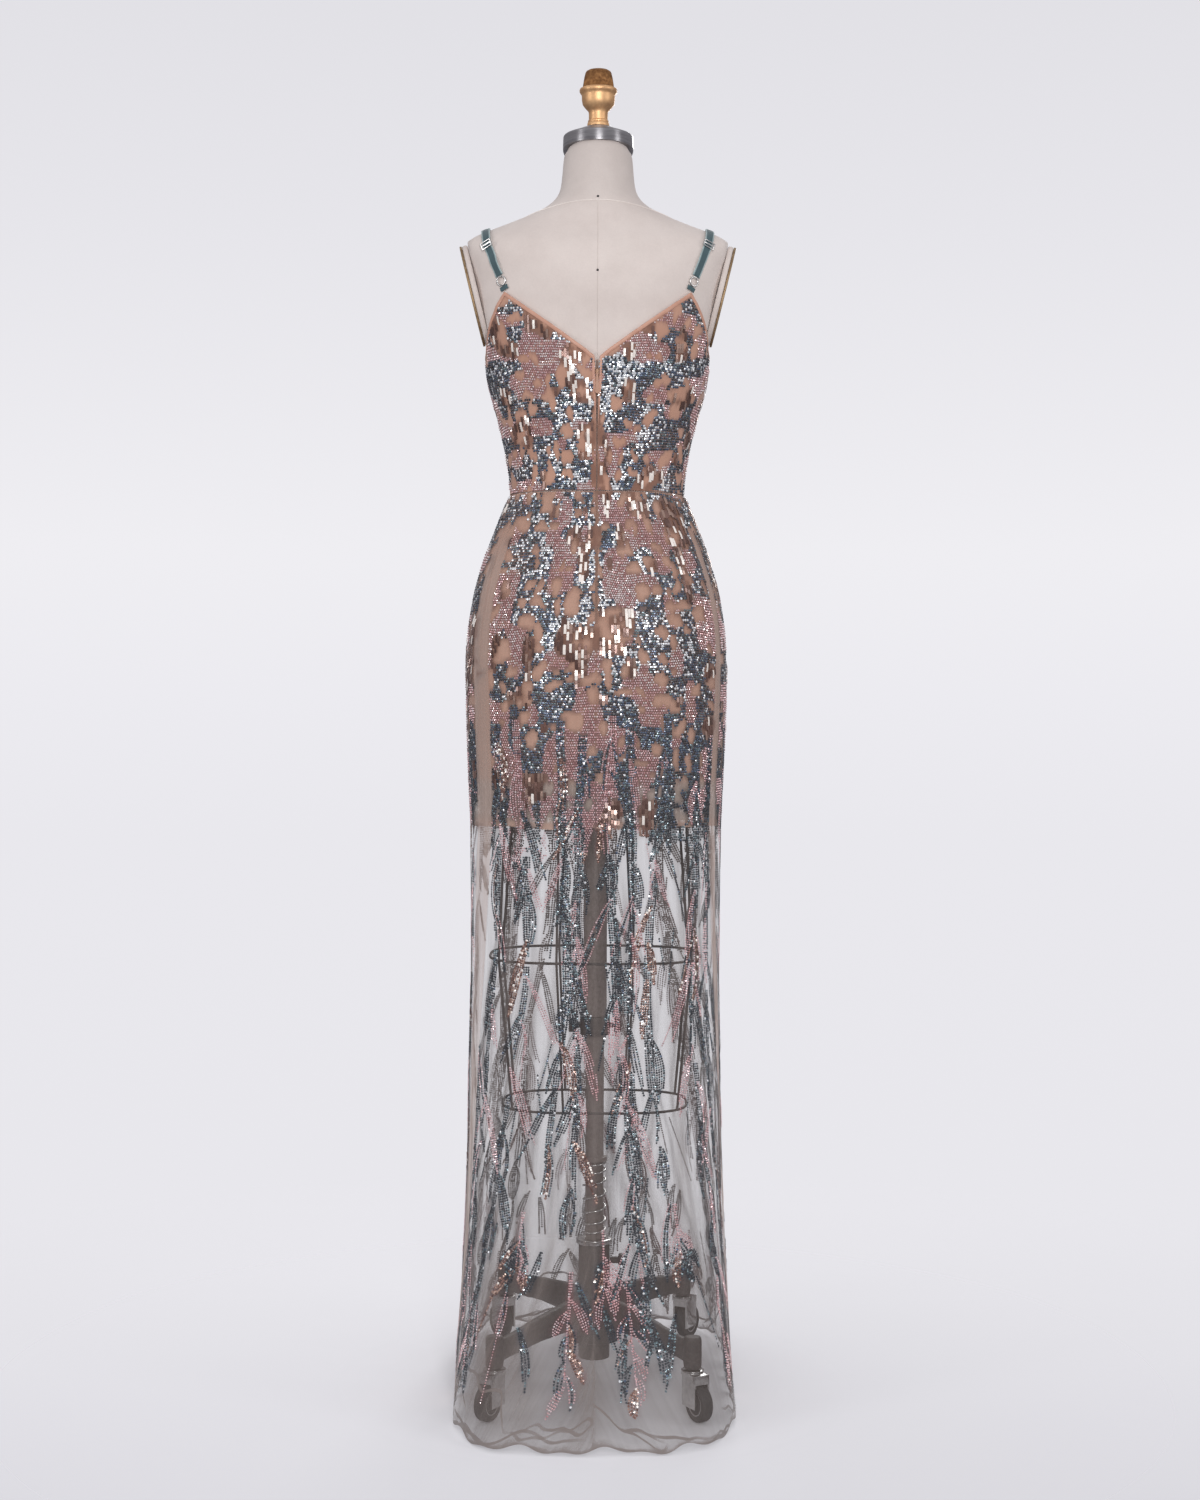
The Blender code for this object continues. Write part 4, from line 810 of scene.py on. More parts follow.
def tube_faces(rings, sides):
    """Side faces of a swept closed section, and its two end caps."""
    faces = []
    for r in range(rings - 1):
        for s in range(sides):
            a, b = r * sides + s, r * sides + (s + 1) % sides
            faces.append((a, b, b + sides, a + sides))
    last = (rings - 1) * sides
    return [*faces, tuple(reversed(range(sides))), tuple(range(last, last + sides))]


cap_rings = []
turn = np.arange(CAP_SIDES) * TAU / CAP_SIDES
for height, radius, tip in CAP:
    behind = np.clip(np.cos(turn), 0, 1)  # its skirt is longer behind, and flares there over the nape
    level = height + radius * (np.cos(turn) - 0.70 * behind) * math.tan(math.radians(tip))
    radius = radius * (1 + 0.055 * behind * float(smoothstep(1.708, 1.692, height)))
    cap_rings.append(np.stack([radius * np.sin(turn), CAP_AXIS_Y - radius * np.cos(turn), level], axis=1))
cap = mesh_piece("neck_cap_spun", cap_rings, tube_faces(len(CAP), CAP_SIDES))
cap.data.set_sharp_from_angle(angle=math.radians(50.0))
dress(cap, cap_steel, "neck_cap_steel", "neck_cap")
print("neck cap:", CAP_SIDES, "sides,", len(CAP), "rings")

# %% [markdown]
# ## How the net hangs
#
# Soft tulle has almost no body. Eased into a waist seam it makes many short radiating creases, and
# below the hips it buckles into long narrow folds that wander as they fall and open towards the hem.
# One function gives both, for any angle and height, so every layer, bead and spray that is sewn to
# the net can ask it where the net is. It returns how far a fold pushes out and how doubled the net is
# there, because two or three layers of net in a fold are what the eye reads as a darker line.

# %% Folds of the net
rng = np.random.default_rng(48)
FOLD_COUNT = 46
GATHER_COUNT = 92
SIDE_SEAM = TAU / 4
fold_at = (np.arange(FOLD_COUNT) + rng.uniform(-0.38, 0.38, FOLD_COUNT)) * TAU / FOLD_COUNT
fold_top = rng.uniform(0.56, 0.86, FOLD_COUNT)
fold_foot = np.where(rng.random(FOLD_COUNT) < 0.68, -0.2, rng.uniform(0.08, 0.34, FOLD_COUNT))
fold_width = np.radians(rng.uniform(0.9, 2.6, FOLD_COUNT))
fold_rise = rng.uniform(0.5, 1.9, FOLD_COUNT) * MM
fold_sway = np.radians(rng.uniform(1.2, 3.6, FOLD_COUNT))
fold_beat = rng.uniform(7.0, 15.0, FOLD_COUNT)
fold_start = rng.uniform(0, TAU, FOLD_COUNT)
fold_lean = np.radians(rng.uniform(-5.0, 5.0, FOLD_COUNT))
gather_at = (np.arange(GATHER_COUNT) + rng.uniform(-0.45, 0.45, GATHER_COUNT)) * TAU / GATHER_COUNT
gather_long = rng.uniform(0.025, 0.125, GATHER_COUNT)
gather_width = np.radians(rng.uniform(0.5, 1.1, GATHER_COUNT))
gather_rise = rng.uniform(0.5, 1.7, GATHER_COUNT) * MM
gather_lean = np.radians(rng.uniform(-14.0, 14.0, GATHER_COUNT))


def turn_apart(angle, other):
    """The signed angle from one direction to another, the short way round."""
    return (angle - other + math.pi) % TAU - math.pi


def fold_field(angle, height):
    """(push outwards in metres, doubling from 0 to about 1) of the net's folds and gathers."""
    angle, height = np.broadcast_arrays(np.asarray(angle, float), np.asarray(height, float))
    push, double = np.zeros(angle.shape), np.zeros(angle.shape)
    for k in range(FOLD_COUNT):
        swing = np.sin(fold_beat[k] * height + fold_start[k]) + 0.4 * np.sin(2.6 * fold_beat[k] * height)
        swing = fold_sway[k] * swing * (1.0 + 0.8 * smoothstep(0.25, 0.0, height))
        middle = fold_at[k] + swing + fold_lean[k] * (fold_top[k] - height)
        wide = fold_width[k] * (1.0 + 0.9 * smoothstep(0.35, 0.0, height))
        ridge = np.exp(-((turn_apart(angle, middle) / wide) ** 2))
        live = smoothstep(fold_top[k], fold_top[k] - 0.14, height)
        live = live * smoothstep(fold_foot[k], fold_foot[k] + 0.12, height)
        push += ridge * live * fold_rise[k] * (1.0 + 0.8 * smoothstep(0.40, 0.0, height))
        double += ridge * live * (1.0 - 0.5 * smoothstep(0.10, 0.02, height))
    below = WAIST_Z - height
    for k in range(GATHER_COUNT):
        middle = gather_at[k] + gather_lean[k] * below
        wide = gather_width[k] * (1.0 + 9.0 * np.clip(below, 0, 1))
        ridge = np.exp(-((turn_apart(angle, middle) / wide) ** 2))
        live = smoothstep(gather_long[k], 0.0, below) * smoothstep(0.0, 0.004, below)
        push += ridge * live * gather_rise[k]
        double += 0.45 * ridge * live
    return push, double


def hem_wave(angle):
    """The raw hem's own ripple, outwards, where it meets the floor."""
    return (np.sin(angle * 17 + 1.3) + 0.7 * np.sin(angle * 29 + 0.4) + 0.5 * np.sin(angle * 43)) * 1.9 * MM


def net_reach(angle, height):
    """Where the net is: the frame's own skirt, with folds, and a rippled hem."""
    push, _ = fold_field(angle, height)
    flare = smoothstep(0.085, 0.0, height)
    drawn_in = 4.5 * MM * smoothstep(0.75, 0.20, height) * np.sin(angle) ** 2  # narrower from side to side
    return skirt_skin.reach(angle, height) + push + flare * hem_wave(angle) - drawn_in


tried = fold_field(np.linspace(0, TAU, 9), 0.3)
print("fold pushes at z 0.3, mm:", np.round(tried[0] / MM, 2))

# %% [markdown]
# ## Sheets by angle and height
#
# A panel is a grid of points on its skin. The builder of such a grid also gives it a UV map in
# metres, so that a weave on it keeps its real size and follows the cloth, and any per-point values
# that its material reads. Rows run upwards and columns towards +X at the back, so faces look out.

# %% Grid sheets


def grid_piece(name, angle, height, reach, values):
    points = place(angle, height, reach)
    rows, columns = points.shape[:2]
    corner = (np.arange(rows - 1)[:, None] * columns + np.arange(columns - 1)).ravel()
    faces = np.stack([corner, corner + 1, corner + columns + 1, corner + columns], axis=1)
    made = mesh_piece(name, points, faces.tolist())
    along = np.linalg.norm(np.diff(points, axis=1), axis=2)
    across = np.concatenate([np.zeros((rows, 1)), np.cumsum(along, axis=1)], axis=1)
    across -= across[:, columns // 2 : columns // 2 + 1]
    uv = np.stack([across.ravel(), np.asarray(height).ravel()], axis=1)[faces.ravel()]
    made.data.uv_layers.new(name="cloth").data.foreach_set("uv", uv.ravel())
    for key, field in values.items():
        keep_values(made.data, key, np.broadcast_to(field, angle.shape).astype(float))
    return made


WIDEST_TO_MEAN = 1.35  # a panel's widest row against its mean width
CLOTH_TO_HEIGHT = 1.03  # its longest column against its height


def cut_size(piece, fullness=1.0):
    """(widest row, longest column) and area of a grid piece in metres, as cut before gathering."""
    area = sum(p.area for p in piece.data.polygons)
    corners = np.array([tuple(c) for c in piece.bound_box])
    tall = corners[:, 2].max() - corners[:, 2].min()
    return (area / tall * WIDEST_TO_MEAN * fullness, tall * CLOTH_TO_HEIGHT), area * fullness


# %% [markdown]
# ## Sheer tulle
#
# Tulle is a hexagonal net of very fine thread, mostly holes: one layer hides about a fifth of what is
# behind it. The holes, at 1.5 mm, are too small to show from here, so the net is a thin veil whose
# cover grows in the folds, along the side strips, where it is doubled, and at the raw hem. Fine
# upright streaks, which follow the cloth, keep it from looking like glass.

# %% The net's material
NET_COVER = 0.15
STREAK_WIDTH, HOLE_PITCH = 5.0 * MM, 1.5 * MM


def crease_cover(tree, cloth_map):
    """Extra cover in wavering level lines by the hem, where the net buckles and lies doubled."""
    parts = add(tree, "ShaderNodeSeparateXYZ", {"Vector": cloth_map}).outputs
    edge = {"Value": parts["Y"], "From Min": 1.0 * MM, "From Max": 12.0 * MM, "To Min": 0.16, "To Max": 0.0}
    total = add(tree, "ShaderNodeMapRange", edge)
    for base, sway, beat in ((7.0, 9.0, 8.0), (17.0, 13.0, 6.0), (27.0, 22.0, 9.0), (42.0, 34.0, 7.0)):
        along = add(tree, "ShaderNodeMath", {0: parts["X"], 1: beat, 2: base}, operation="MULTIPLY_ADD")
        wander = {"W": along, "Scale": 1.0, "Detail": 2.5}
        wander = add(tree, "ShaderNodeTexNoise", wander, noise_dimensions="1D")
        ends = {"To Min": (base - sway) * MM, "To Max": (base + sway) * MM}
        ends.update({"From Min": 0.3, "From Max": 0.7})
        level = add(tree, "ShaderNodeMapRange", {"Value": wander, **ends}, clamp=False)
        apart = add(tree, "ShaderNodeMath", {0: parts["Y"], 1: level}, operation="SUBTRACT")
        apart = add(tree, "ShaderNodeMath", {0: apart}, operation="ABSOLUTE")
        near = {"From Min": 0.6 * MM, "From Max": 2.4 * MM, "To Min": 0.78, "To Max": 0.0}
        near["Value"] = apart.outputs[0]
        drawn = add(tree, "ShaderNodeMapRange", near, interpolation_type="SMOOTHSTEP")
        gate = {0: parts["X"], 1: 5.0, 2: base + 40.0}
        gate = add(tree, "ShaderNodeMath", gate, operation="MULTIPLY_ADD")
        here = add(tree, "ShaderNodeTexNoise", {"W": gate, "Scale": 1.0}, noise_dimensions="1D")
        here = {"Value": here, "From Min": 0.42, "From Max": 0.56}
        live = add(tree, "ShaderNodeMapRange", here)
        total = add(tree, "ShaderNodeMath", {0: drawn, 1: live, 2: total}, operation="MULTIPLY_ADD")
    return total


def point_values(tree, *names):
    """The values that a cloth panel keeps at its points, as sockets."""
    return [add(tree, "ShaderNodeAttribute", attribute_name=name).outputs["Fac"] for name in names]


def thread_and_shade(tree, plain):
    """The cloth's own colour, and under the beads a darker colour: the thread that sews them on, and
    painted shade.
    """
    bed, rosy, foiled = point_values(tree, "bed", "bed_pink", "bed_foil")
    threads = {"Factor": rosy, "A": linear("#53555D"), "B": linear("#785557")}
    thread = add(tree, "ShaderNodeMix", threads, data_type="RGBA").outputs["Result"]
    ground = {"Factor": foiled, "A": thread, "B": linear("#7A574A")}
    ground = add(tree, "ShaderNodeMix", ground, data_type="RGBA").outputs["Result"]
    share = add(tree, "ShaderNodeMath", {0: bed, 1: 0.80}, operation="MULTIPLY")
    mixed = {"Factor": share, "A": plain, "B": ground}
    return add(tree, "ShaderNodeMix", mixed, data_type="RGBA").outputs["Result"]


def tulle():
    made, tree, out = new_material("grey_tulle")
    cloth_map = add(tree, "ShaderNodeUVMap", uv_map="cloth").outputs[0]
    double, strip, bed = point_values(tree, "double", "strip", "bed")
    drawn = add(tree, "ShaderNodeMapping", {"Vector": cloth_map, "Scale": (1 / STREAK_WIDTH, 9.0, 1.0)})
    streak = add(tree, "ShaderNodeTexNoise", {"Vector": drawn, "Scale": 0.5, "Detail": 3.0})
    hole = {"Vector": cloth_map, "Scale": 1 / HOLE_PITCH}
    net = add(tree, "ShaderNodeTexVoronoi", hole, feature="DISTANCE_TO_EDGE", voronoi_dimensions="2D")
    thread = {"Value": net.outputs["Distance"], "From Max": 0.22, "To Min": 1.25, "To Max": 0.9}
    thread = add(tree, "ShaderNodeMapRange", thread)
    veil = {"From Min": 0.38, "From Max": 0.68, "To Min": 0.85, "To Max": 1.3}
    veil = add(tree, "ShaderNodeMapRange", {"Value": streak, **veil})
    cover = add(tree, "ShaderNodeMath", {0: double, 1: 0.24, 2: NET_COVER}, operation="MULTIPLY_ADD")
    cover = add(tree, "ShaderNodeMath", {0: strip, 1: 0.34, 2: cover}, operation="MULTIPLY_ADD")
    cover = add(tree, "ShaderNodeMath", {0: cover, 1: veil}, operation="MULTIPLY")
    cover = add(tree, "ShaderNodeMath", {0: cover, 1: thread}, operation="MULTIPLY")
    creases = crease_cover(tree, cloth_map)
    cover = add(tree, "ShaderNodeMath", {0: cover, 1: creases}, operation="ADD")
    upright = add(tree, "ShaderNodeSeparateXYZ", {"Vector": cloth_map}).outputs["Y"]
    pooled = {"Value": upright, "From Min": 0.45, "From Max": 0.02, "To Max": 0.13}
    pooled = add(tree, "ShaderNodeMapRange", pooled, interpolation_type="SMOOTHSTEP")
    cover = add(tree, "ShaderNodeMath", {0: cover, 1: pooled}, operation="ADD")
    # Under the beads the net is denser, so that the thread and painted shade there show.
    backed = {"Value": upright, "From Min": 0.74, "From Max": 0.80, "To Min": 0.12, "To Max": 0.60}
    backed = add(tree, "ShaderNodeMapRange", backed)
    cover = add(tree, "ShaderNodeMath", {0: bed, 1: backed, 2: cover}, operation="MULTIPLY_ADD")
    shown = add(tree, "ShaderNodeClamp", {"Value": cover, "Max": 0.93})
    warm = {"Value": upright, "From Min": 0.76, "From Max": 0.95}
    warm = add(tree, "ShaderNodeMapRange", warm, interpolation_type="SMOOTHSTEP").outputs[0]
    body = {"Factor": warm, "A": linear("#7A706C"), "B": linear("#B28A78")}
    body = add(tree, "ShaderNodeMix", body, data_type="RGBA").outputs["Result"]
    dye = {"Factor": strip, "A": body, "B": linear("#C0A99E")}
    dye = add(tree, "ShaderNodeMix", dye, data_type="RGBA").outputs["Result"]
    look = {"Base Color": thread_and_shade(tree, dye), "Roughness": 0.75, "Alpha": shown}
    look.update({"Specular IOR Level": 0.3, "Sheen Weight": 0.25})
    shader = add(tree, "ShaderNodeBsdfPrincipled", look)
    tree.links.new(shader.outputs[0], out.inputs["Surface"])
    return made


def jersey(name, light, dark):
    """Nude stretch lining: a fine matt knit whose ribs, 1.1 mm apart, only show close to."""
    made, tree, out = new_material(name)
    cloth_map = add(tree, "ShaderNodeUVMap", uv_map="cloth").outputs[0]
    cover = point_values(tree, "cover")[0]
    ribs = {"Vector": cloth_map, "Scale": TAU / 20 / (1.1 * MM), "Distortion": 0.5}
    knit = add(tree, "ShaderNodeTexWave", ribs, bands_direction="X")
    cloud = add(tree, "ShaderNodeTexNoise", {"Vector": cloth_map, "Scale": 14.0, "Detail": 5.0})
    tone = add(tree, "ShaderNodeValToRGB", {"Fac": cloud})
    put_stops(tone.color_ramp, (0.3, dark), (0.7, light))
    bump = {"Height": knit.outputs["Fac"], "Strength": 0.15, "Distance": 0.15 * MM}
    bump = add(tree, "ShaderNodeBump", bump)
    # Painted light: where the lining hangs free of the form it is painted paler, as if lit through, besides
    # letting some light pass.
    glow = {"Value": cover, "From Min": 1.0, "From Max": 0.58, "To Max": 0.75}
    glow = add(tree, "ShaderNodeMapRange", glow)
    lit_through = {"Factor": glow, "A": tone, "B": linear("#D9CCC2")}
    lit_through = add(tree, "ShaderNodeMix", lit_through, data_type="RGBA").outputs["Result"]
    look = {"Base Color": thread_and_shade(tree, lit_through), "Roughness": 0.86, "Alpha": cover}
    look.update({"Normal": bump, "Specular IOR Level": 0.3, "Sheen Weight": 0.2})
    shader = add(tree, "ShaderNodeBsdfPrincipled", look)
    tree.links.new(shader.outputs[0], out.inputs["Surface"])
    return made


net_look = tulle()
lining_look = jersey("nude_jersey_lining", "#C9A593", "#BB9583")
bodice_look = jersey("nude_jersey_bodice", "#C59A85", "#B68A76")

# %% [markdown]
# ## The skirt: three net panels
#
# The two back panels meet at the centre-back seam and carry the train; the front is one panel. Their
# side seams share the same row of points, so no light gets between them.

# %% Net panels
NET_COLUMNS_BACK, NET_COLUMNS_FRONT, NET_ROWS = 126, 220, 166
STRIPS = ((-62.5, 6.8), (67.0, 3.2))  # middle and half width, in degrees, of the plain doubled strips


def hem_lift(angle):
    return (6.4 + 3.6 * np.sin(angle * 19 + 0.7) + 2.2 * np.sin(angle * 41)) * MM


def strip_field(angle, height):
    """1 inside the two plain strips, where the net is doubled beside a side seam."""
    field = np.zeros(np.broadcast(angle, height).shape)
    for middle, half in STRIPS:
        bend = math.radians(middle) + 0.035 * np.sin(height * 9.0 + middle)
        apart = np.abs(turn_apart(angle, bend)) / math.radians(half)
        field = np.maximum(field, smoothstep(1.0, 0.8, apart))
    return field * smoothstep(WAIST_Z - 0.01, WAIST_Z - 0.10, height)


def net_panel(name, first, last, columns):
    turn = np.linspace(first, last, columns)[None, :]
    share = np.linspace(0, 1, NET_ROWS)[:, None] ** 1.12
    foot = hem_lift(turn)
    height = foot + (WAIST_Z - 0.0006 - foot) * share
    angle = np.broadcast_to(turn, height.shape)
    reach = net_reach(angle, height)
    _, double = fold_field(angle, height)
    edge_turn = (5.5 + 2.0 * np.sin(angle * 31) + 1.5 * np.sin(angle * 57 + 1)) * MM
    roll = smoothstep(edge_turn, 0.0, height - foot) * 2.2 + smoothstep(0.30, 0.0, height) * 0.18
    seam = smoothstep(3.2 * MM, 0.8 * MM, np.abs(turn_apart(angle, 0.0)) * reach) * 0.7
    values = {"double": double + roll + seam, "strip": strip_field(angle, height)}
    made = grid_piece(name, angle, height, reach, values)
    return dress(made, net_look, "embroidered_tulle", name.replace("net_", "skirt_"))


net_pieces = {}
for key, first, last, columns in (
    ("net_back_left", -SIDE_SEAM, 0.0, NET_COLUMNS_BACK),
    ("net_back_right", 0.0, SIDE_SEAM, NET_COLUMNS_BACK),
    ("net_front", SIDE_SEAM, TAU - SIDE_SEAM, NET_COLUMNS_FRONT),
):
    net_pieces[key] = net_panel(key, first, last, columns)

# %% [markdown]
# ## The lining
#
# A knee-length nude jersey shell under the net, cut plain and close. Its lower edge hangs free of the
# form, so light comes through it there, and its hem is turned up once and stitched.

# %% Lining panels
LINING_HEM_BAND = 9.0 * MM


def lining_reach(angle, height):
    push, _ = fold_field(angle, height)
    eased = smoothstep(WAIST_Z - 0.15, WAIST_Z, height)
    sway = 1.3 * MM * np.sin(angle * 13 + 0.6) * smoothstep(0.90, LINING_HEM_Z, height)
    return lining_skin.reach(angle, np.maximum(height, LINING_HEM_Z + 0.002)) + push * 0.4 * eased + sway


def lining_panel(name, first, last, columns=120, rows=70):
    turn = np.linspace(first, last, columns)[None, :]
    share = np.linspace(0, 1, rows)[:, None]
    foot = LINING_HEM_Z + 1.5 * MM * np.sin(turn * 7 + 1.0) + 1.5 * MM
    height = foot + (WAIST_Z - 0.0008 - foot) * share
    angle = np.broadcast_to(turn, height.shape)
    free = smoothstep(TORSO_FOOT_Z + 0.010, TORSO_FOOT_Z - 0.006, height)
    hem = smoothstep(LINING_HEM_BAND, LINING_HEM_BAND - 1.5 * MM, height - foot)
    values = {"cover": 1.0 - 0.42 * free + 0.34 * hem}
    made = grid_piece(name, angle, height, lining_reach(angle, height), values)
    return dress(made, lining_look, "nude_lining", name.replace("_shell", ""))


lining_pieces = {
    "lining_back_shell": lining_panel("lining_back_shell", -SIDE_SEAM, SIDE_SEAM),
    "lining_front_shell": lining_panel("lining_front_shell", SIDE_SEAM, TAU - SIDE_SEAM),
}
hem_turn = np.linspace(0, TAU, 361)[:-1]
hem_rise = LINING_HEM_Z + 1.5 * MM * np.sin(hem_turn * 7 + 1.0) + 2.2 * MM
hem_line = place(hem_turn, hem_rise, lining_reach(hem_turn, hem_rise))
overlock = wire("lining_hem_thread", hem_line.tolist(), 0.7 * MM, cyclic=True)
dress(overlock, jersey("overlock_thread", "#6F5B52", "#5E4C45"), "nude_lining")
for key, piece in lining_pieces.items():
    print(key, "cut", [round(v, 3) for v in cut_size(piece)[0]])

# %% [markdown]
# ## The bodice
#
# The bodice fits like a second skin. Its upper edge rises from the V at the centre back to the two
# points that hold the straps, falls under the arms and rises again in front. Rays at the solids find
# that edge once, by halving the distance, and everything along the edge then asks the same table.

# %% The upper edge
EDGE_STEPS = 1440
edge_table = np.empty(EDGE_STEPS)
bodice_tree = search_tree(["bodice_back_left", "bodice_back_right", "bodice_front"])
for k in range(EDGE_STEPS):
    turn = (k + 0.5) * TAU / EDGE_STEPS
    out = Vector((math.sin(turn), -math.cos(turn), 0.0))
    below, above = 1.30, 1.495
    for _ in range(11):
        middle = (below + above) / 2
        start = Vector((0.0, AXIS_Y, middle)) + out * FAR
        if bodice_tree.ray_cast(start, -out, FAR - 0.04)[0] is None:
            above = middle
        else:
            below = middle
    edge_table[k] = below


def edge_height(angle):
    at = (np.asarray(angle, float) / TAU * EDGE_STEPS - 0.5) % EDGE_STEPS
    k = np.floor(at).astype(int)
    return edge_table[k] + (edge_table[(k + 1) % EDGE_STEPS] - edge_table[k]) * (at - k)


half_turn = np.linspace(0, math.pi, 721)
half_edge = edge_height(half_turn)
under_arm = half_turn[200:520][np.argmin(half_edge[200:520])]
BACK_TIP = half_turn[:300][np.argmax(half_edge[:300])]
FRONT_TIP = half_turn[420:][np.argmax(half_edge[420:])]
tips = [round(math.degrees(turn), 1) for turn in (BACK_TIP, FRONT_TIP, under_arm)]
print("degrees of the back tip, the front tip and the arm's low point:", tips)
print("centre back at", round(float(half_edge[0]), 4))

# %% Bodice panels
BODICE_FOOT = WAIST_Z + 0.0004
ZIP_LIP = 0.8 * MM  # half of the gap that the closed zip leaves


def bodice_reach(angle, height):
    """The fitted cloth, with faint drag lines."""
    drag = 0.35 * MM * np.sin(angle * 31 + height * 120) * np.sin(height * 46 + angle * 5)
    lip = smoothstep(5.0 * MM, 0.0, np.abs(turn_apart(angle, 0.0)) * 0.1) * 0.9 * MM
    return bodice_skin.reach(angle, height) + drag + lip


def bodice_panel(name, first, last, columns, rows=56):
    turn = np.linspace(first, last, columns)[None, :]
    share = np.linspace(0, 1, rows)[:, None]
    height = BODICE_FOOT + (edge_height(turn) - BODICE_FOOT) * share
    angle = np.broadcast_to(turn, height.shape)
    made = grid_piece(name, angle, height, bodice_reach(angle, height), {"cover": 1.0})
    return dress(made, bodice_look, "embroidered_tulle", name.replace("_cloth", ""))


lip_turn = ZIP_LIP / float(bodice_skin.reach(0.0, 1.30))
bodice_pieces = {
    "bodice_back_left_cloth": bodice_panel("bodice_back_left_cloth", -SIDE_SEAM, -lip_turn, 128),
    "bodice_back_right_cloth": bodice_panel("bodice_back_right_cloth", lip_turn, SIDE_SEAM, 128),
    "bodice_front_cloth": bodice_panel("bodice_front_cloth", SIDE_SEAM, TAU - SIDE_SEAM, 216),
}
for key, piece in bodice_pieces.items():
    print(key, "cut", [round(v, 3) for v in cut_size(piece)[0]])

# %% [markdown]
# ## Bindings
#
# The raw upper edge is closed with a bias strip of peach satin, folded over the edge and stitched
# down: about 4 mm shows outside and a little less inside. A satin strip is smoother and shinier than
# the jersey, and its weave runs slantwise because it is cut on the bias.

# %% Satin and its strips
SATIN_PITCH = 0.8 * MM


def satin(name, light, dark):
    made, tree, out = new_material(name)
    where = add(tree, "ShaderNodeTexCoord").outputs["Object"]
    slant = add(tree, "ShaderNodeMapping", {"Vector": where, "Rotation": (0.4, 0.75, 0.3)})
    twill = {"Vector": slant, "Scale": TAU / 20 / SATIN_PITCH, "Distortion": 0.7}
    weave = add(tree, "ShaderNodeTexWave", twill, bands_direction="X")
    cloud = add(tree, "ShaderNodeTexNoise", {"Vector": where, "Scale": 55.0, "Detail": 3.0})
    tone = add(tree, "ShaderNodeValToRGB", {"Fac": cloud})
    put_stops(tone.color_ramp, (0.32, dark), (0.66, light))
    bump = {"Height": weave.outputs["Fac"], "Strength": 0.2, "Distance": 0.1 * MM}
    bump = add(tree, "ShaderNodeBump", bump)
    look = {"Base Color": tone, "Roughness": 0.46, "Sheen Weight": 0.15}
    shader = add(tree, "ShaderNodeBsdfPrincipled", {**look, "Normal": bump})
    tree.links.new(shader.outputs[0], out.inputs["Surface"])
    return made


peach_satin = satin("peach_bias_satin", "#CF9F89", "#C08E79")
STRIP_SECTION = (  # up past the edge, out of the cloth, in millimetres, round a folded strip
    (-4.2, 0.25), (-4.3, 0.80), (-3.7, 1.10), (-2.2, 1.30), (-0.7, 1.25), (0.30, 0.75),
    (0.50, -0.1), (0.25, -0.9), (-0.8, -1.3), (-3.8, -1.2), (-3.9, -0.7), (-1.2, -0.6),
    (-1.0, 0.25),
)


def edge_frame(angle):
    """Points along the upper edge, with the way out and the way up in the cloth."""

    def at(turn, height):
        return place(turn, height, bodice_reach(turn, height))

    step = 0.004
    height = edge_height(angle)
    point = at(angle, height)
    tangent = at(angle + step, edge_height(angle + step)) - at(angle - step, edge_height(angle - step))
    side = at(angle + step, height) - at(angle - step, height)
    rise = at(angle, height) - at(angle, height - 0.004)
    out = unit(np.cross(side, rise))
    return point, out, unit(np.cross(out, unit(tangent)))


def point_outwards(piece):
    change_mesh(piece.data, lambda work: bmesh.ops.recalc_face_normals(work, faces=work.faces))


def bias_strip(node_name, first, last, count):
    turn = np.linspace(first, last, count)
    point, out, up = edge_frame(turn)
    ripple = 1 + 0.05 * np.sin(np.arange(count) * 0.9)
    section = np.array(STRIP_SECTION) * MM
    rings = point[:, None, :] + up[:, None, :] * section[None, :, :1]
    rings = rings + out[:, None, :] * section[None, :, 1:] * ripple[:, None, None]
    made = mesh_piece(f"{node_name}_strip", rings, tube_faces(count, len(section)))
    point_outwards(made)
    made.data.set_sharp_from_angle(angle=math.radians(60.0))
    return dress(made, peach_satin, "peach_binding", node_name)


strips = [
    bias_strip("binding_back_right", 0.012, BACK_TIP, 90),
    bias_strip("binding_back_left", TAU - BACK_TIP, TAU - 0.012, 90),
    bias_strip("binding_armhole_right", BACK_TIP, FRONT_TIP, 130),
    bias_strip("binding_armhole_left", TAU - FRONT_TIP, TAU - BACK_TIP, 130),
    bias_strip("binding_front", FRONT_TIP, TAU - FRONT_TIP, 160),
]
print("bias strips:", len(strips), "with", sum(len(s.data.polygons) for s in strips), "faces")

# %% [markdown]
# ## Where every bead goes
#
# The embroidery is sewn to the net and to the bodice, so it needs one question answered: at this
# angle and height, where is the cloth, and which way does it face? The second function samples the
# cloth a little to each side and above, and the cross product of the two steps is the facing.

# %% The cloth under the beads
SEWN_ABOVE = 0.5 * MM
GIRTH = 1.08  # metres round the skirt, a middling value that sets how wide cells and rows are


def gown_reach(angle, height):
    below = net_reach(angle, np.minimum(height, WAIST_Z - 0.001))
    return np.where(height > WAIST_Z, bodice_reach(angle, np.maximum(height, WAIST_Z)), below)


def cloth_at(angle, height):
    """Points just above the cloth, and the way it faces there."""
    step = 0.010
    here = place(angle, height, gown_reach(angle, height))
    beside = place(angle + step, height, gown_reach(angle + step, height))
    above = place(angle, height + 0.003, gown_reach(angle, height + 0.003))
    out = unit(np.cross(beside - here, above - here))
    return here + out * SEWN_ABOVE, out


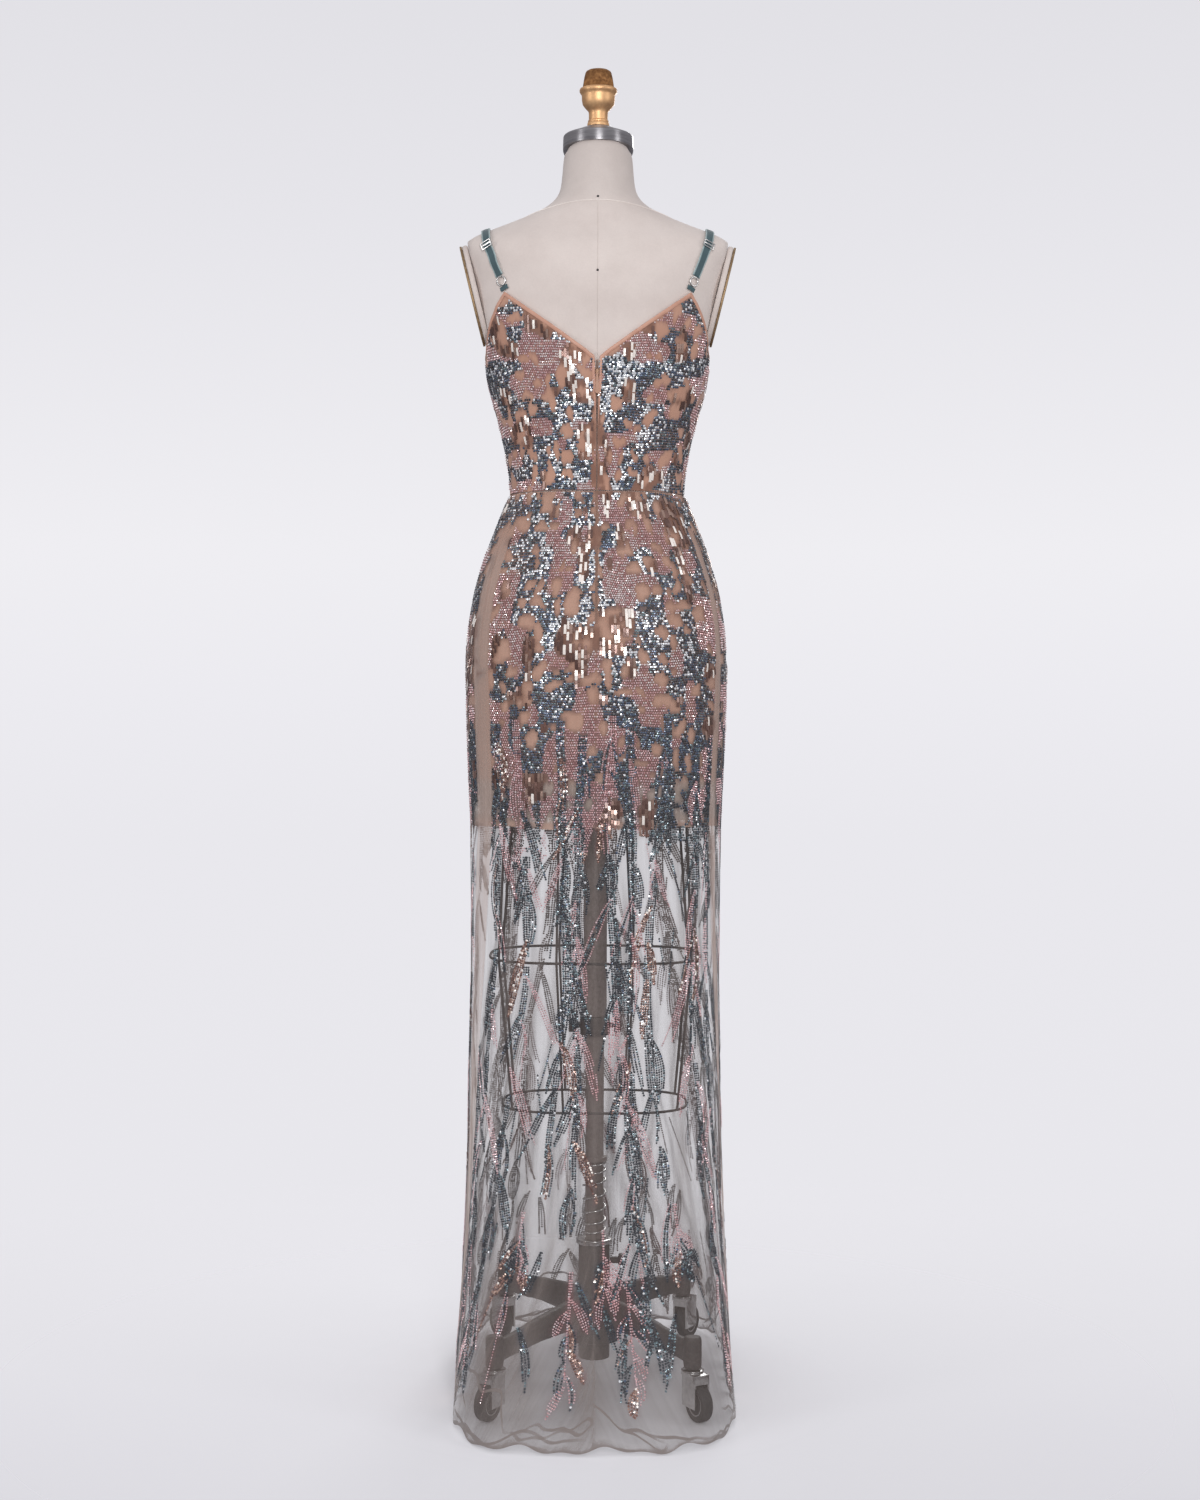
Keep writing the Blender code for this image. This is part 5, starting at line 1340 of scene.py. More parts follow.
class Cloud:
    """Smooth random values that close up round the gown, from a lattice of given cell sizes."""

    def __init__(self, seed, wide, tall):
        self.count = int(round(GIRTH / wide))
        self.tall = tall
        self.values = np.random.default_rng(seed).random((int(1.9 / tall) + 4, self.count))

    def at(self, angle, height):
        across = np.asarray(angle, float) / TAU * self.count % self.count
        up = np.asarray(height, float) / self.tall + 1
        c, r = np.floor(across).astype(int), np.floor(up).astype(int)
        s, t = across - c, up - r
        s, t = s * s * (3 - 2 * s), t * t * (3 - 2 * t)
        right = (c + 1) % self.count
        low = self.values[r, c] * (1 - s) + self.values[r, right] * s
        high = self.values[r + 1, c] * (1 - s) + self.values[r + 1, right] * s
        return low * (1 - t) + high * t


points, facing = cloth_at(np.array([0.0, 1.0, 3.0]), np.array([1.30, 1.00, 0.40]))
print("the cloth faces", np.round(facing, 2).tolist())

# %% [markdown]
# ## The upper field: a network with round windows
#
# From the neckline to the thighs the beads form a close network that leaves rounded windows of bare
# cloth. A jittered grid of cells gives at most one window to each cell. Between the windows, smooth
# random fields part the ground into patches of slate sequins, pink beads and bronze foil, which lie
# level in the bodice and stand upright in the skirt. The layout is grown from seeds by this rule
# alone, so it repeats no maker's drawing.

# %% Windows and patches
SLATE, PINK, BRONZE, BARE = 0, 1, 2, 3
WINDOW_WIDE, WINDOW_TALL = 0.0262, 0.0255
FIELD_FOOT = 0.70
bend_across = Cloud(5, 0.026, 0.026)
bend_up = Cloud(6, 0.024, 0.028)
pink_skirt, pink_bodice = Cloud(7, 0.024, 0.034), Cloud(17, 0.040, 0.020)
foil_skirt, foil_bodice = Cloud(8, 0.026, 0.036), Cloud(19, 0.032, 0.028)


def blob_kinds(angle, height):
    """What is sewn at each place of the upper field; BARE where there is a window."""
    blobs = np.random.default_rng(21)
    across_count = int(round(GIRTH / WINDOW_WIDE))
    rows = int(1.6 / WINDOW_TALL) + 2
    shift = blobs.uniform(0.2, 0.8, (rows, across_count, 2))
    half = blobs.uniform(0.20, 0.48, (rows, across_count, 2))
    open_here = blobs.random((rows, across_count)) < 0.66
    above = height > WAIST_Z
    pink_land = np.where(above, pink_bodice.at(angle, height), pink_skirt.at(angle, height))
    foil_land = np.where(above, foil_bodice.at(angle, height), foil_skirt.at(angle, height))
    made = np.where(pink_land > 0.55, PINK, SLATE)
    middle = np.exp(-((np.sin(angle) / 0.45) ** 2)) * smoothstep(0.80, 0.95, height)
    made[foil_land > 0.75 - 0.12 * middle] = BRONZE
    u = angle / TAU * across_count + (bend_across.at(angle, height) - 0.5) * 0.85
    v = height / WINDOW_TALL + (bend_up.at(angle, height) - 0.5) * 0.85
    base_u, base_v = np.floor(u).astype(int), np.floor(v).astype(int)
    for i in (-1, 0, 1):
        for j in (-1, 0, 1):
            column, row = (base_u + i) % across_count, np.clip(base_v + j, 0, rows - 1)
            du = u - (base_u + i) - shift[row, column, 0]
            dv = v - (base_v + j) - shift[row, column, 1]
            away = np.hypot(du / half[row, column, 0], dv / half[row, column, 1])
            made[(away < 1.0) & open_here[row, column]] = BARE
    return made


# %% [markdown]
# ## The lower field: hanging sprays
#
# Below the thighs the network runs out into stems that hang down the net. Each stem wanders, thins
# as it falls and lets go of narrow leaves, which are a few rows of beads side by side that meet at a
# point. Loose single strands fill in between. A stem is grown in steps, like a plant, from a seed.

# %% Stems, leaves and strands
BEAD_PITCH = 3.15 * MM
STEM_COUNT, STEM_STEP = 25, 12.0 * MM
STRAND_COUNT, LONG_LEAF_COUNT = 110, 48
grown = []  # angle, height, kind, size of each bead of the sprays


def clear_of_strips(angle, height):
    return strip_field(np.array([angle]), np.array([height]))[0] < 0.3


def radius_at(angle, height):
    return float(skirt_skin.reach(np.array([angle]), np.array([max(height, 0.01)]))[0])


def sew_row(path, kind, size):
    """Beads at the pitch along a path of (angle, height) points."""
    spare = 0.0
    for (a, z), (b, y) in zip(path[:-1], path[1:]):
        around = radius_at(a, z)
        run = math.hypot((b - a) * around, y - z)
        at = spare
        while at < run:
            share = at / max(run, 1e-9)
            grown.append((a + (b - a) * share, z + (y - z) * share, kind, size))
            at += BEAD_PITCH
        spare = at - run


def leaf(angle, height, lean, length, wide, kind, chance, tails=0.28):
    """A narrow leaf that hangs from its stalk: rows side by side, closing to a point."""
    around = radius_at(angle, height)
    rows = max(int(round(wide / (2.6 * MM))), 1)
    steps = max(int(length / (7 * MM)), 3)
    curl = chance.uniform(-0.5, 0.5)
    loose_tail = chance.random() < tails
    edging = kind if chance.random() < 0.7 else int(chance.choice([SLATE, PINK]))
    for k in range(rows):
        side = (k - (rows - 1) / 2) / max((rows - 1) / 2, 1) if rows > 1 else 0.0
        frayed = chance.uniform(0.0, 0.35) if loose_tail else 0.30 * abs(side) * chance.uniform(0.4, 1.2)
        path = []
        for s in range(steps + 1):
            t = s / steps * (1.0 - frayed)
            spread = math.sin(math.pi * min(t * 0.92 + 0.06, 1.0)) ** 0.8
            if loose_tail and t > 0.55:
                spread = 0.92 + 0.6 * (t - 0.55)
            drift = lean * length * (1 - math.exp(-2.2 * t)) + curl * length * t * t * 0.5
            across = drift + side * wide / 2 * spread
            path.append((angle + across / around, height - length * t))
        sew_row(path, edging if abs(side) > 0.7 else kind, chance.uniform(0.85, 1.05))


def stem(angle, chance):
    """One stem from the network down, with its leaves; it breaks off and starts again on the way."""
    height = chance.uniform(0.86, 0.92)
    foot = chance.choice([0.03, 0.08, 0.16, 0.28], p=[0.58, 0.24, 0.12, 0.06])
    foot = foot + chance.uniform(0, 0.03)
    heading = chance.uniform(-0.10, 0.10)
    kind = SLATE if chance.random() < 0.78 else PINK
    until_leaf = chance.uniform(0.02, 0.06)
    side = chance.choice([-1.0, 1.0])
    path = [(angle, height)]
    while height > foot:
        heading = 0.80 * heading + chance.uniform(-0.085, 0.085)
        angle += heading * STEM_STEP / radius_at(angle, height)
        height -= STEM_STEP
        path.append((angle, height))
        until_leaf -= STEM_STEP
        if until_leaf <= 0 and clear_of_strips(angle, height):
            length = chance.uniform(0.055, 0.115) * (1.0 if height > 0.2 else 0.75)
            if height - length > 0.012:
                leaf_kind = int(chance.choice([SLATE, PINK, BRONZE], p=[0.58, 0.31, 0.11]))
                wide = chance.uniform(6.0, 12.0) * MM
                leaf(angle, height, side * chance.uniform(0.08, 0.32), length, wide, leaf_kind, chance)
                if chance.random() < 0.45:
                    near = leaf_kind if chance.random() < 0.4 else int(chance.choice([SLATE, PINK]))
                    spot = (angle, height - 0.01, -side * chance.uniform(0.05, 0.30))
                    leaf(*spot, length * 0.7, wide * 0.6, near, chance)
            side = -side
            until_leaf = chance.uniform(0.036, 0.070)
    start = 0
    while start < len(path) - 3:
        run = int(chance.integers(10, 30))
        part = path[start : start + run]
        top = part[0][1]
        rows = 4 if top > 0.66 else 3 if top > 0.36 else 2
        around = radius_at(*part[0])
        for k in range(rows):
            apart = (k - (rows - 1) / 2) * 2.9 * MM / around
            trim = part[: max(len(part) - int(chance.integers(0, 4)), 2)]
            sew_row([(a + apart, z) for a, z in trim], kind, chance.uniform(0.85, 1.0))
        start += run + int(chance.integers(0, 3 if top > 0.6 else 5))
        if chance.random() < 0.22:
            kind = int(chance.choice([SLATE, PINK]))


chance = np.random.default_rng(7)
for k in range(STEM_COUNT):
    turn = (k + chance.uniform(0.2, 0.8)) * TAU / STEM_COUNT
    if clear_of_strips(turn, 0.8):
        stem(turn, chance)
for _ in range(STRAND_COUNT):
    turn, top = chance.uniform(0, TAU), chance.uniform(0.12, 0.84)
    long = chance.uniform(0.035, 0.11)
    if top - long > 0.02 and clear_of_strips(turn, top):
        lean = chance.uniform(-0.25, 0.25)
        around = radius_at(turn, top)
        path = [(turn + lean * s * long / 6 / around, top - s * long / 6) for s in range(7)]
        sew_row(path, int(chance.choice([SLATE, PINK, BRONZE], p=[0.6, 0.25, 0.15])), 0.85)
bursts = [(-0.13, 0.17, 0.135), (0.19, 0.165, 0.130), (0.75, 0.12, 0.055), (-0.72, 0.13, 0.055)]
bursts += [(0.06, 0.22, 0.060), (-0.45, 0.24, 0.050), (0.52, 0.25, 0.055)]
bursts += [(chance.uniform(1.2, 5.1), chance.uniform(0.08, 0.14), 0.055) for _ in range(8)]
for turn, top, long in bursts:  # fans of short broad leaves near the hem, the largest on the train
    if not clear_of_strips(turn, top):
        continue
    for row in (-1.5, 0.0, 1.5):
        sew_row([(turn + row * MM / 0.19, top + 0.03), (turn, top - 0.7 * long)], PINK, 0.9)
    for k in range(8):  # leaves on alternate sides, one under another
        kind = (PINK, BRONZE, SLATE)[int(chance.choice(3, p=[0.42, 0.38, 0.20]))]
        start = top - long * 0.105 * k
        reach_down = min(chance.uniform(0.030, 0.044), start - 0.012)
        side = (-1) ** k * chance.uniform(0.22, 0.62)
        if reach_down > 0.012:
            leaf(turn, start, side, reach_down, chance.uniform(7.0, 11.0) * MM, kind, chance, tails=0.0)
for _ in range(LONG_LEAF_COUNT):  # dark leaves that reach down over the hem
    turn, top = chance.uniform(0, TAU), chance.uniform(0.09, 0.26)
    if clear_of_strips(turn, top):
        lean, long = chance.uniform(-0.4, 0.4), chance.uniform(0.05, 0.085)
        leaf(turn, top, lean, long, 8 * MM, SLATE, chance)
print("beads grown in the sprays:", len(grown))

# %% [markdown]
# ## One list of beads
#
# The upper field is filled row by row at the bead pitch, with rows that waver as a hand-guided
# machine's do. Both fields are then thinned by a hash grid, which drops any bead that would land on
# its neighbour, and kept off the seams, the zip, the bindings and the plain strips.

# %% Fill, thin and trim


def clear_of_seams(angle, height, side_gap, waist_gap, edge_gap, strip_share):
    """Which places leave these gaps to the side seams, the waist seam, the binding and the strips."""
    from_side = np.abs(np.abs(turn_apart(angle, 0.0)) - SIDE_SEAM) * gown_reach(angle, height)
    clear = (from_side > side_gap) & (np.abs(height - WAIST_Z) > waist_gap)
    clear &= height < edge_height(angle) - edge_gap
    return clear & (strip_field(angle, height) < strip_share)


ROW_PITCH = 3.3 * MM
FIELD_TOP = 1.484
HASH_CELL = 2.4 * MM  # no two beads in one cell of this size
FOIL_FOOT = 0.76  # above this the bronze patches are foil strips, which come after the beads
waver = Cloud(9, 0.05, 0.05)
rows = []
height = FIELD_FOOT
step_rng = np.random.default_rng(12)
while height < FIELD_TOP:
    mean_reach = float(np.mean(gown_reach(np.linspace(0, TAU, 33), np.full(33, height))))
    count = int(TAU * mean_reach / BEAD_PITCH)
    turn = (np.arange(count) + 0.5 * (len(rows) % 2)) / count * TAU
    turn = turn + step_rng.uniform(-0.08, 0.08, count) / count * TAU
    level = height + (waver.at(turn, np.full(count, height)) - 0.5) * 7.0 * MM
    rows.append(np.stack([turn % TAU, level], axis=1))
    height += ROW_PITCH
upper = np.concatenate(rows)
kinds = blob_kinds(upper[:, 0], upper[:, 1])
ragged = Cloud(10, 0.017, 0.06).at(upper[:, 0], upper[:, 1])
foil_ground = upper[(kinds == BRONZE) & (upper[:, 1] > FOIL_FOOT)]
kept = ragged < (upper[:, 1] - FIELD_FOOT) / 0.12
kept &= (kinds != BARE) & ((kinds != BRONZE) | (upper[:, 1] < FOIL_FOOT))
upper = np.concatenate([upper, kinds[:, None], np.full((len(upper), 1), 1.0)], axis=1)[kept]
every = np.concatenate([np.array(grown), upper])
angle, height = every[:, 0] % TAU, every[:, 1]
reach = gown_reach(angle, height)
good = clear_of_seams(angle, height, 1.5 * MM, 1.9 * MM, 6.3 * MM, 0.35)
good &= np.abs(turn_apart(angle, 0.0)) * reach > np.where(height > 1.03, 2.6 * MM, 1.2 * MM)
good &= height > 9.0 * MM
every, angle, height = every[good], angle[good], height[good]
spots, facing = cloth_at(angle, height)
taken, chosen = set(), []
for k, spot in enumerate(spots):
    cell = tuple((spot // HASH_CELL).astype(int))
    if cell not in taken:
        taken.add(cell)
        chosen.append(k)
every, angle, height = every[chosen], angle[chosen], height[chosen]
spots, facing = spots[chosen], facing[chosen]
kinds = every[:, 2].astype(int)
print("beads in all:", len(every), " slate, pink, bronze:", np.bincount(kinds, minlength=3).tolist())

# %% [markdown]
# ## The thread and painted shade under the beads
#
# Between two beads the eye sees the thread that sews them on, and the shade that the beads cast, not
# clean cloth; that shade is painted into the cloth's colour. A count of the beads in small cells,
# blurred a little, says how thick the thread and shade are anywhere, and each cloth panel keeps that
# number at its points, for its material to darken the cloth by.

# %% Marking the cloth under the beads
CELLS_ROUND, CELLS_UP = 360, 500


def counted(turn, level):
    """Beads in each cell of angle and height, blurred with the cells next to it."""
    spread = ((0, TAU), (0, 1.5))
    cells, _, _ = np.histogram2d(turn, level, bins=(CELLS_ROUND, CELLS_UP), range=spread)
    for axis in (0, 1):
        cells = cells * 0.6 + (np.roll(cells, 1, axis) + np.roll(cells, -1, axis)) * 0.2
    return cells


foil_cells = counted(*foil_ground.T)
all_cells = counted(angle, height) + foil_cells
pink_cells = counted(angle[kinds != SLATE], height[kinds != SLATE])


def mark_bed(piece):
    points = np.empty(len(piece.data.vertices) * 3)
    piece.data.vertices.foreach_get("co", points)
    x, y, z = points.reshape(-1, 3).T
    y = AXIS_Y - y
    column = (np.arctan2(x, y) % TAU / TAU * CELLS_ROUND).astype(int) % CELLS_ROUND
    row = np.clip((z / 1.5 * CELLS_UP).astype(int), 0, CELLS_UP - 1)
    full = 0.80 * np.hypot(x, y) / (GIRTH / TAU)
    bed = np.clip(all_cells[column, row] / full, 0, 1)
    here = np.maximum(all_cells[column, row], 0.05)
    rosy = np.clip(pink_cells[column, row] / here, 0, 1)
    foiled = np.clip(foil_cells[column, row] / here, 0, 1)
    for key, field in (("bed", bed), ("bed_pink", rosy), ("bed_foil", foiled)):
        keep_values(piece.data, key, field)
    return float(bed.mean())


for piece in [*net_pieces.values(), *bodice_pieces.values()]:
    print(piece.name, "is beaded over", round(mark_bed(piece), 2), "of its points")

# %% [markdown]
# ## Glass and foil
#
# A sequin is a small metallised cup and a bead is metal-lined glass, so both act as tiny mirrors of a
# dyed colour, and each one is tilted its own way. Three or four dye lots of each colour keep a patch
# from looking printed. The palest lot is partly silver beads and partly painted glints, as it is set
# thicker where the light falls, and the dark lot takes over low down as painted shade. They are plain
# shaders on purpose: a bead of 3 mm has no room for a pattern, and its life comes from its facets.
# Their backs are pale thread and knots, seen through the net.

# %% Dye lots


def dyed(name, code, metallic, roughness, coat=0.0):
    made, tree, out = new_material(name)
    look = {"Base Color": linear(code), "Metallic": metallic, "Roughness": roughness}
    look.update({"Coat Weight": coat, "Coat Roughness": 0.08})
    shader = add(tree, "ShaderNodeBsdfPrincipled", look)
    tree.links.new(shader.outputs[0], out.inputs["Surface"])
    return made


DYES = {
    SLATE: [
        dyed("slate_sequin_dark", "#3A3C41", 0.40, 0.34, 0.2),
        dyed("slate_sequin_blue", "#536074", 0.55, 0.30, 0.3),
        dyed("slate_sequin_green", "#6C7C82", 0.60, 0.26, 0.4),
        dyed("slate_sequin_silver_and_glint", "#EDF0F4", 0.50, 0.22),
    ],
    PINK: [
        dyed("pink_glass_deep", "#BC8E91", 0.25, 0.28, 0.6),
        dyed("pink_glass_dusty", "#E2B8BA", 0.25, 0.26, 0.6),
        dyed("pink_glass_mauve", "#EACFD3", 0.30, 0.24, 0.6),
        dyed("pink_glass_silver_and_glint", "#FCF3F3", 0.40, 0.20),
    ],
    BRONZE: [
        dyed("bronze_foil_dark", "#644A43", 0.45, 0.30, 0.4),
        dyed("bronze_foil_brown", "#7F6057", 0.45, 0.28, 0.4),
        dyed("bronze_foil_gold", "#A4887C", 0.50, 0.26, 0.4),
        dyed("bronze_foil_pale_and_glint", "#FFF6EE", 0.20, 0.22, 0.7),
    ],
}
thread_back = dyed("bead_thread_back", "#AAA19E", 0.0, 0.80)

# %% [markdown]
# ## The bead setter
#
# Beads are the classic use of Instance on Points. Each point carries its own facing, spin, size and
# dye lot as named attributes. The tree turns a tiny five-sided cup to the facing, sets it on every
# point, makes the copies real and then gives each its material: first the dye lot, and last the
# thread colour wherever a face looks back into the cloth.

# %% The tree


def setter_tree(name, **numbers):
    """A Geometry Nodes tree with its inputs, loose points and some numbers, and the numbers' names."""
    tree = bpy.data.node_groups.new(name, "GeometryNodeTree")
    tree.interface.new_socket(name="Points", in_out="INPUT", socket_type="NodeSocketGeometry")
    sockets = {}
    for key, value in numbers.items():
        socket = tree.interface.new_socket(name=key, in_out="INPUT", socket_type="NodeSocketFloat")
        socket.default_value = value
        sockets[key] = socket.identifier
    tree.interface.new_socket(name="Geometry", in_out="OUTPUT", socket_type="NodeSocketGeometry")
    return tree, add(tree, "NodeGroupInput").outputs, sockets


def named(tree, name, kind):
    return add(tree, "GeometryNodeInputNamedAttribute", {"Name": name}, data_type=kind).outputs[0]


def real_copies(tree, points, instance, rotation, **more):
    """Copies of an instance on loose points, made real."""
    cloud = add(tree, "GeometryNodeMeshToPoints", {"Mesh": points, "Radius": 0.001})
    laid = {"Points": cloud, "Instance": instance, "Rotation": rotation, **more}
    copies = add(tree, "GeometryNodeInstanceOnPoints", laid)
    return add(tree, "GeometryNodeRealizeInstances", {"Geometry": copies}).outputs[0]


def in_dyes(tree, geometry, dyes):
    """Gives each copy the material of the dye lot that its point named."""
    lot = named(tree, "lot", "INT")
    for k, dye in enumerate(dyes):
        mine = add(tree, "FunctionNodeCompare", {2: lot, 3: k}, data_type="INT", operation="EQUAL")
        chosen = {"Geometry": geometry, "Selection": mine, "Material": dye}
        geometry = add(tree, "GeometryNodeSetMaterial", chosen).outputs[0]
    return geometry


def bead_setter(name, dyes, sides):
    """Geometry Nodes that set a faceted cup on every point, in the dye lot that the point names."""
    tree, given, sockets = setter_tree(name, Radius=1.8 * MM, Depth=0.7 * MM)
    cup = {"Vertices": sides, "Radius Top": 0.0, "Radius Bottom": given["Radius"], "Depth": given["Depth"]}
    cup = add(tree, "GeometryNodeMeshCone", cup, fill_type="NGON").outputs["Mesh"]
    facing = named(tree, "facing", "FLOAT_VECTOR")
    turned = add(tree, "FunctionNodeAlignRotationToVector", {"Vector": facing}, axis="Z").outputs[0]
    spin = add(tree, "ShaderNodeCombineXYZ", {"Z": named(tree, "spin", "FLOAT")}).outputs[0]
    spun = {"Rotation": turned, "Rotate By": spin}
    spun = add(tree, "FunctionNodeRotateRotation", spun, rotation_space="LOCAL").outputs[0]
    real = real_copies(tree, given["Points"], cup, spun, Scale=named(tree, "size", "FLOAT"))
    real = in_dyes(tree, real, dyes)
    looks = add(tree, "GeometryNodeInputNormal").outputs["Normal"]
    toward = add(tree, "ShaderNodeVectorMath", {0: looks, 1: facing}, operation="DOT_PRODUCT")
    behind = {0: toward.outputs["Value"], 1: -0.6}
    behind = add(tree, "FunctionNodeCompare", behind, data_type="FLOAT", operation="LESS_THAN").outputs[0]
    backed = {"Geometry": real, "Selection": behind, "Material": thread_back}
    backed = add(tree, "GeometryNodeSetMaterial", backed)
    add(tree, "NodeGroupOutput", {0: backed})
    return tree, sockets


def set_on_points(name, tree, inputs, spots, attributes):
    """Runs a tree on loose points with attributes, and returns the result as a plain mesh object."""
    data = bpy.data.meshes.new(name)
    data.from_pydata(spots.tolist(), [], [])
    for key, (kind, values) in attributes.items():
        keep_values(data, key, values, kind)
    made = new_object(name, data)
    setter = made.modifiers.new("setter", "NODES")
    setter.node_group = tree
    for identifier, value in inputs.items():
        setter[identifier] = value
    apply_modifiers(made)
    for key in attributes:
        if key in made.data.attributes:
            made.data.attributes.remove(made.data.attributes[key])
    return made


# %% Setting the beads, panel by panel
TILT = {SLATE: 0.09, PINK: 0.12, BRONZE: 0.14}
LOT_SHARES = {SLATE: (0.42, 0.38, 0.20), PINK: (0.22, 0.46, 0.32), BRONZE: (0.30, 0.42, 0.28)}
# the share of the brightest lot everywhere, and how much more of it where the light falls, as painted
# glints
BRIGHT = {SLATE: (0.05, 0.52), PINK: (0.07, 0.55), BRONZE: (0.18, 0.30)}
CUP = {SLATE: (1.75 * MM, 0.45 * MM), PINK: (1.40 * MM, 1.15 * MM), BRONZE: (2.10 * MM, 0.40 * MM)}
KIND_NAMES = {SLATE: "slate", PINK: "pink", BRONZE: "bronze"}


def by_panel(angle, height):
    """Which points lie on which panel of the gown, by the panel's name."""
    signed = turn_apart(angle, 0.0)
    sides = {
        "left": (signed < 0) & (signed > -SIDE_SEAM),
        "right": (signed >= 0) & (signed < SIDE_SEAM),
        "front": np.abs(signed) >= SIDE_SEAM,
    }
    parts = {"bodice": height > WAIST_Z, "skirt": height <= WAIST_Z}
    return {f"{part}_{side}": parts[part] & sides[side] for part in parts for side in sides}


panels = by_panel(angle, height)
tilts = np.random.default_rng(33)
# Painted glints: the brightest lot is set thicker where the light falls, in the middle of back and front.
# Painted shade: low down, slate turns darker and bright beads are fewer.
glint = Cloud(18, 0.028, 0.024).at(angle, height)
painted_glint = np.exp(-((np.sin(angle) / 0.95) ** 2)) * smoothstep(0.86, 1.06, height)
painted_glint = painted_glint * smoothstep(0.15, 0.62, glint)
painted_shade_low = smoothstep(0.86, 0.76, height)
bead_pieces = {key: [] for key in panels}
total = 0
for kind in (SLATE, PINK, BRONZE):
    tree, sockets = bead_setter(f"set_{KIND_NAMES[kind]}", DYES[kind], 5 if kind == SLATE else 4)
    radius, depth = CUP[kind]
    for key, inside in panels.items():
        mine = inside & (kinds == kind)
        count = int(mine.sum())
        if count == 0:
            continue
        leaning = unit(facing[mine] + tilts.normal(0, TILT[kind], (count, 3)))
        lots = tilts.choice(3, count, p=LOT_SHARES[kind])
        lots[(tilts.random(count) < 0.9 * painted_shade_low[mine]) & (lots == 1) & (kind == SLATE)] = 0
        share = BRIGHT[kind][0] * (1.0 - 0.6 * painted_shade_low[mine]) + BRIGHT[kind][1] * painted_glint[mine]
        lots[tilts.random(count) < share] = 3
        attributes = {
            "facing": ("FLOAT_VECTOR", leaning),
            "spin": ("FLOAT", tilts.uniform(-0.4, 0.4, count)),
            "size": ("FLOAT", every[mine, 3] * tilts.uniform(0.88, 1.12, count)),
            "lot": ("INT", lots),
        }
        inputs = {sockets["Radius"]: radius, sockets["Depth"]: depth}
        piece = set_on_points(f"{KIND_NAMES[kind]}_{key}", tree, inputs, spots[mine], attributes)
        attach(piece, "form")
        bead_pieces[key].append(piece)
        piece.data.calc_loop_triangles()
        total += len(piece.data.loop_triangles)
print("bead pieces:", sum(len(v) for v in bead_pieces.values()), " triangles:", total)

# %% [markdown]
# ## Foil strips
#
# The bronze patches of the upper field are narrow upright strips of foil, sewn down at their ends, so
# they bow a little and each group leans its own way. That is why some of them flash as white bars
# while their neighbours stay brown. Pale strips are partly pale foil and partly painted flashes, which
# are set thicker in the middle of the back and the front. The same kind of tree sets them, but a strip
# has an up as well as a facing, so its rotation is aligned twice: Z to the facing, then Y to the
# cloth's up, round Z.

# %% The foil tree
FOIL_SIZE = (3.6 * MM, 12.4 * MM, 0.35 * MM)
FOIL_ACROSS, FOIL_UP = 4.6 * MM, 12.8 * MM


def foil_setter(dyes):
    """Geometry Nodes that set a bowed strip on every point, upright on the cloth."""
    tree, given, sockets = setter_tree("set_foil", Bow=0.5 * MM)
    block = {"Size": FOIL_SIZE, "Vertices X": 2, "Vertices Y": 3, "Vertices Z": 2}
    bar = add(tree, "GeometryNodeMeshCube", block)
    spot = add(tree, "GeometryNodeInputPosition").outputs[0]
    along = add(tree, "ShaderNodeSeparateXYZ", {0: spot}).outputs["Y"]
    share = add(tree, "ShaderNodeMath", {0: along, 1: FOIL_SIZE[1]}, operation="DIVIDE").outputs[0]
    square = add(tree, "ShaderNodeMath", {0: share, 1: share}, operation="MULTIPLY")
    drop = add(tree, "ShaderNodeMath", {0: square, 1: given["Bow"]}, operation="MULTIPLY")
    down = add(tree, "ShaderNodeMath", {0: drop, 1: -4.0}, operation="MULTIPLY")
    bowed = add(tree, "ShaderNodeCombineXYZ", {"Z": down}).outputs[0]
    strip = add(tree, "GeometryNodeSetPosition", {"Geometry": bar.outputs["Mesh"], "Offset": bowed})
    facing, up = (named(tree, key, "FLOAT_VECTOR") for key in ("facing", "up"))
    outward = add(tree, "FunctionNodeAlignRotationToVector", {"Vector": facing}, axis="Z").outputs[0]
    turned = {"Rotation": outward, "Vector": up}
    turned = add(tree, "FunctionNodeAlignRotationToVector", turned, axis="Y", pivot_axis="Z").outputs[0]
    size = named(tree, "size", "FLOAT")
    real = real_copies(tree, given["Points"], strip.outputs[0], turned, Scale=size)
    add(tree, "NodeGroupOutput", {0: in_dyes(tree, real, dyes)})
    return tree, sockets


# %% Setting the foil
foil_rng = np.random.default_rng(61)
lean_across, lean_up = Cloud(14, 0.022, 0.026), Cloud(15, 0.022, 0.026)
columns = int(GIRTH / FOIL_ACROSS)
levels = np.arange(FOIL_FOOT, FIELD_TOP, FOIL_UP)
turn = (np.arange(columns) + 0.5) / columns * TAU
shift = foil_rng.uniform(0, 1, columns) * FOIL_UP
foil_angle = np.repeat(turn, len(levels))
foil_height = (levels[None, :] + shift[:, None]).ravel()
foil_height = foil_height + foil_rng.uniform(-1.0, 1.0, len(foil_height)) * MM
foil_reach = gown_reach(foil_angle, foil_height)
keep = blob_kinds(foil_angle, foil_height) == BRONZE
thin_out = foil_reach / (GIRTH / TAU)  # fewer fit where the gown is narrow
keep &= foil_rng.random(len(foil_angle)) < np.clip(thin_out * 1.05, 0, 1)
keep &= np.abs(turn_apart(foil_angle, 0.0)) * foil_reach > 4.5 * MM
keep &= clear_of_seams(foil_angle, foil_height, 3.5 * MM, 7.5 * MM, 12.0 * MM, 0.3)
foil_angle, foil_height = foil_angle[keep], foil_height[keep]
foil_spots, foil_facing = cloth_at(foil_angle, foil_height)
foil_up = cloth_at(foil_angle, foil_height + 0.004)[0] - foil_spots
foil_spots = foil_spots + foil_facing * 0.9 * MM
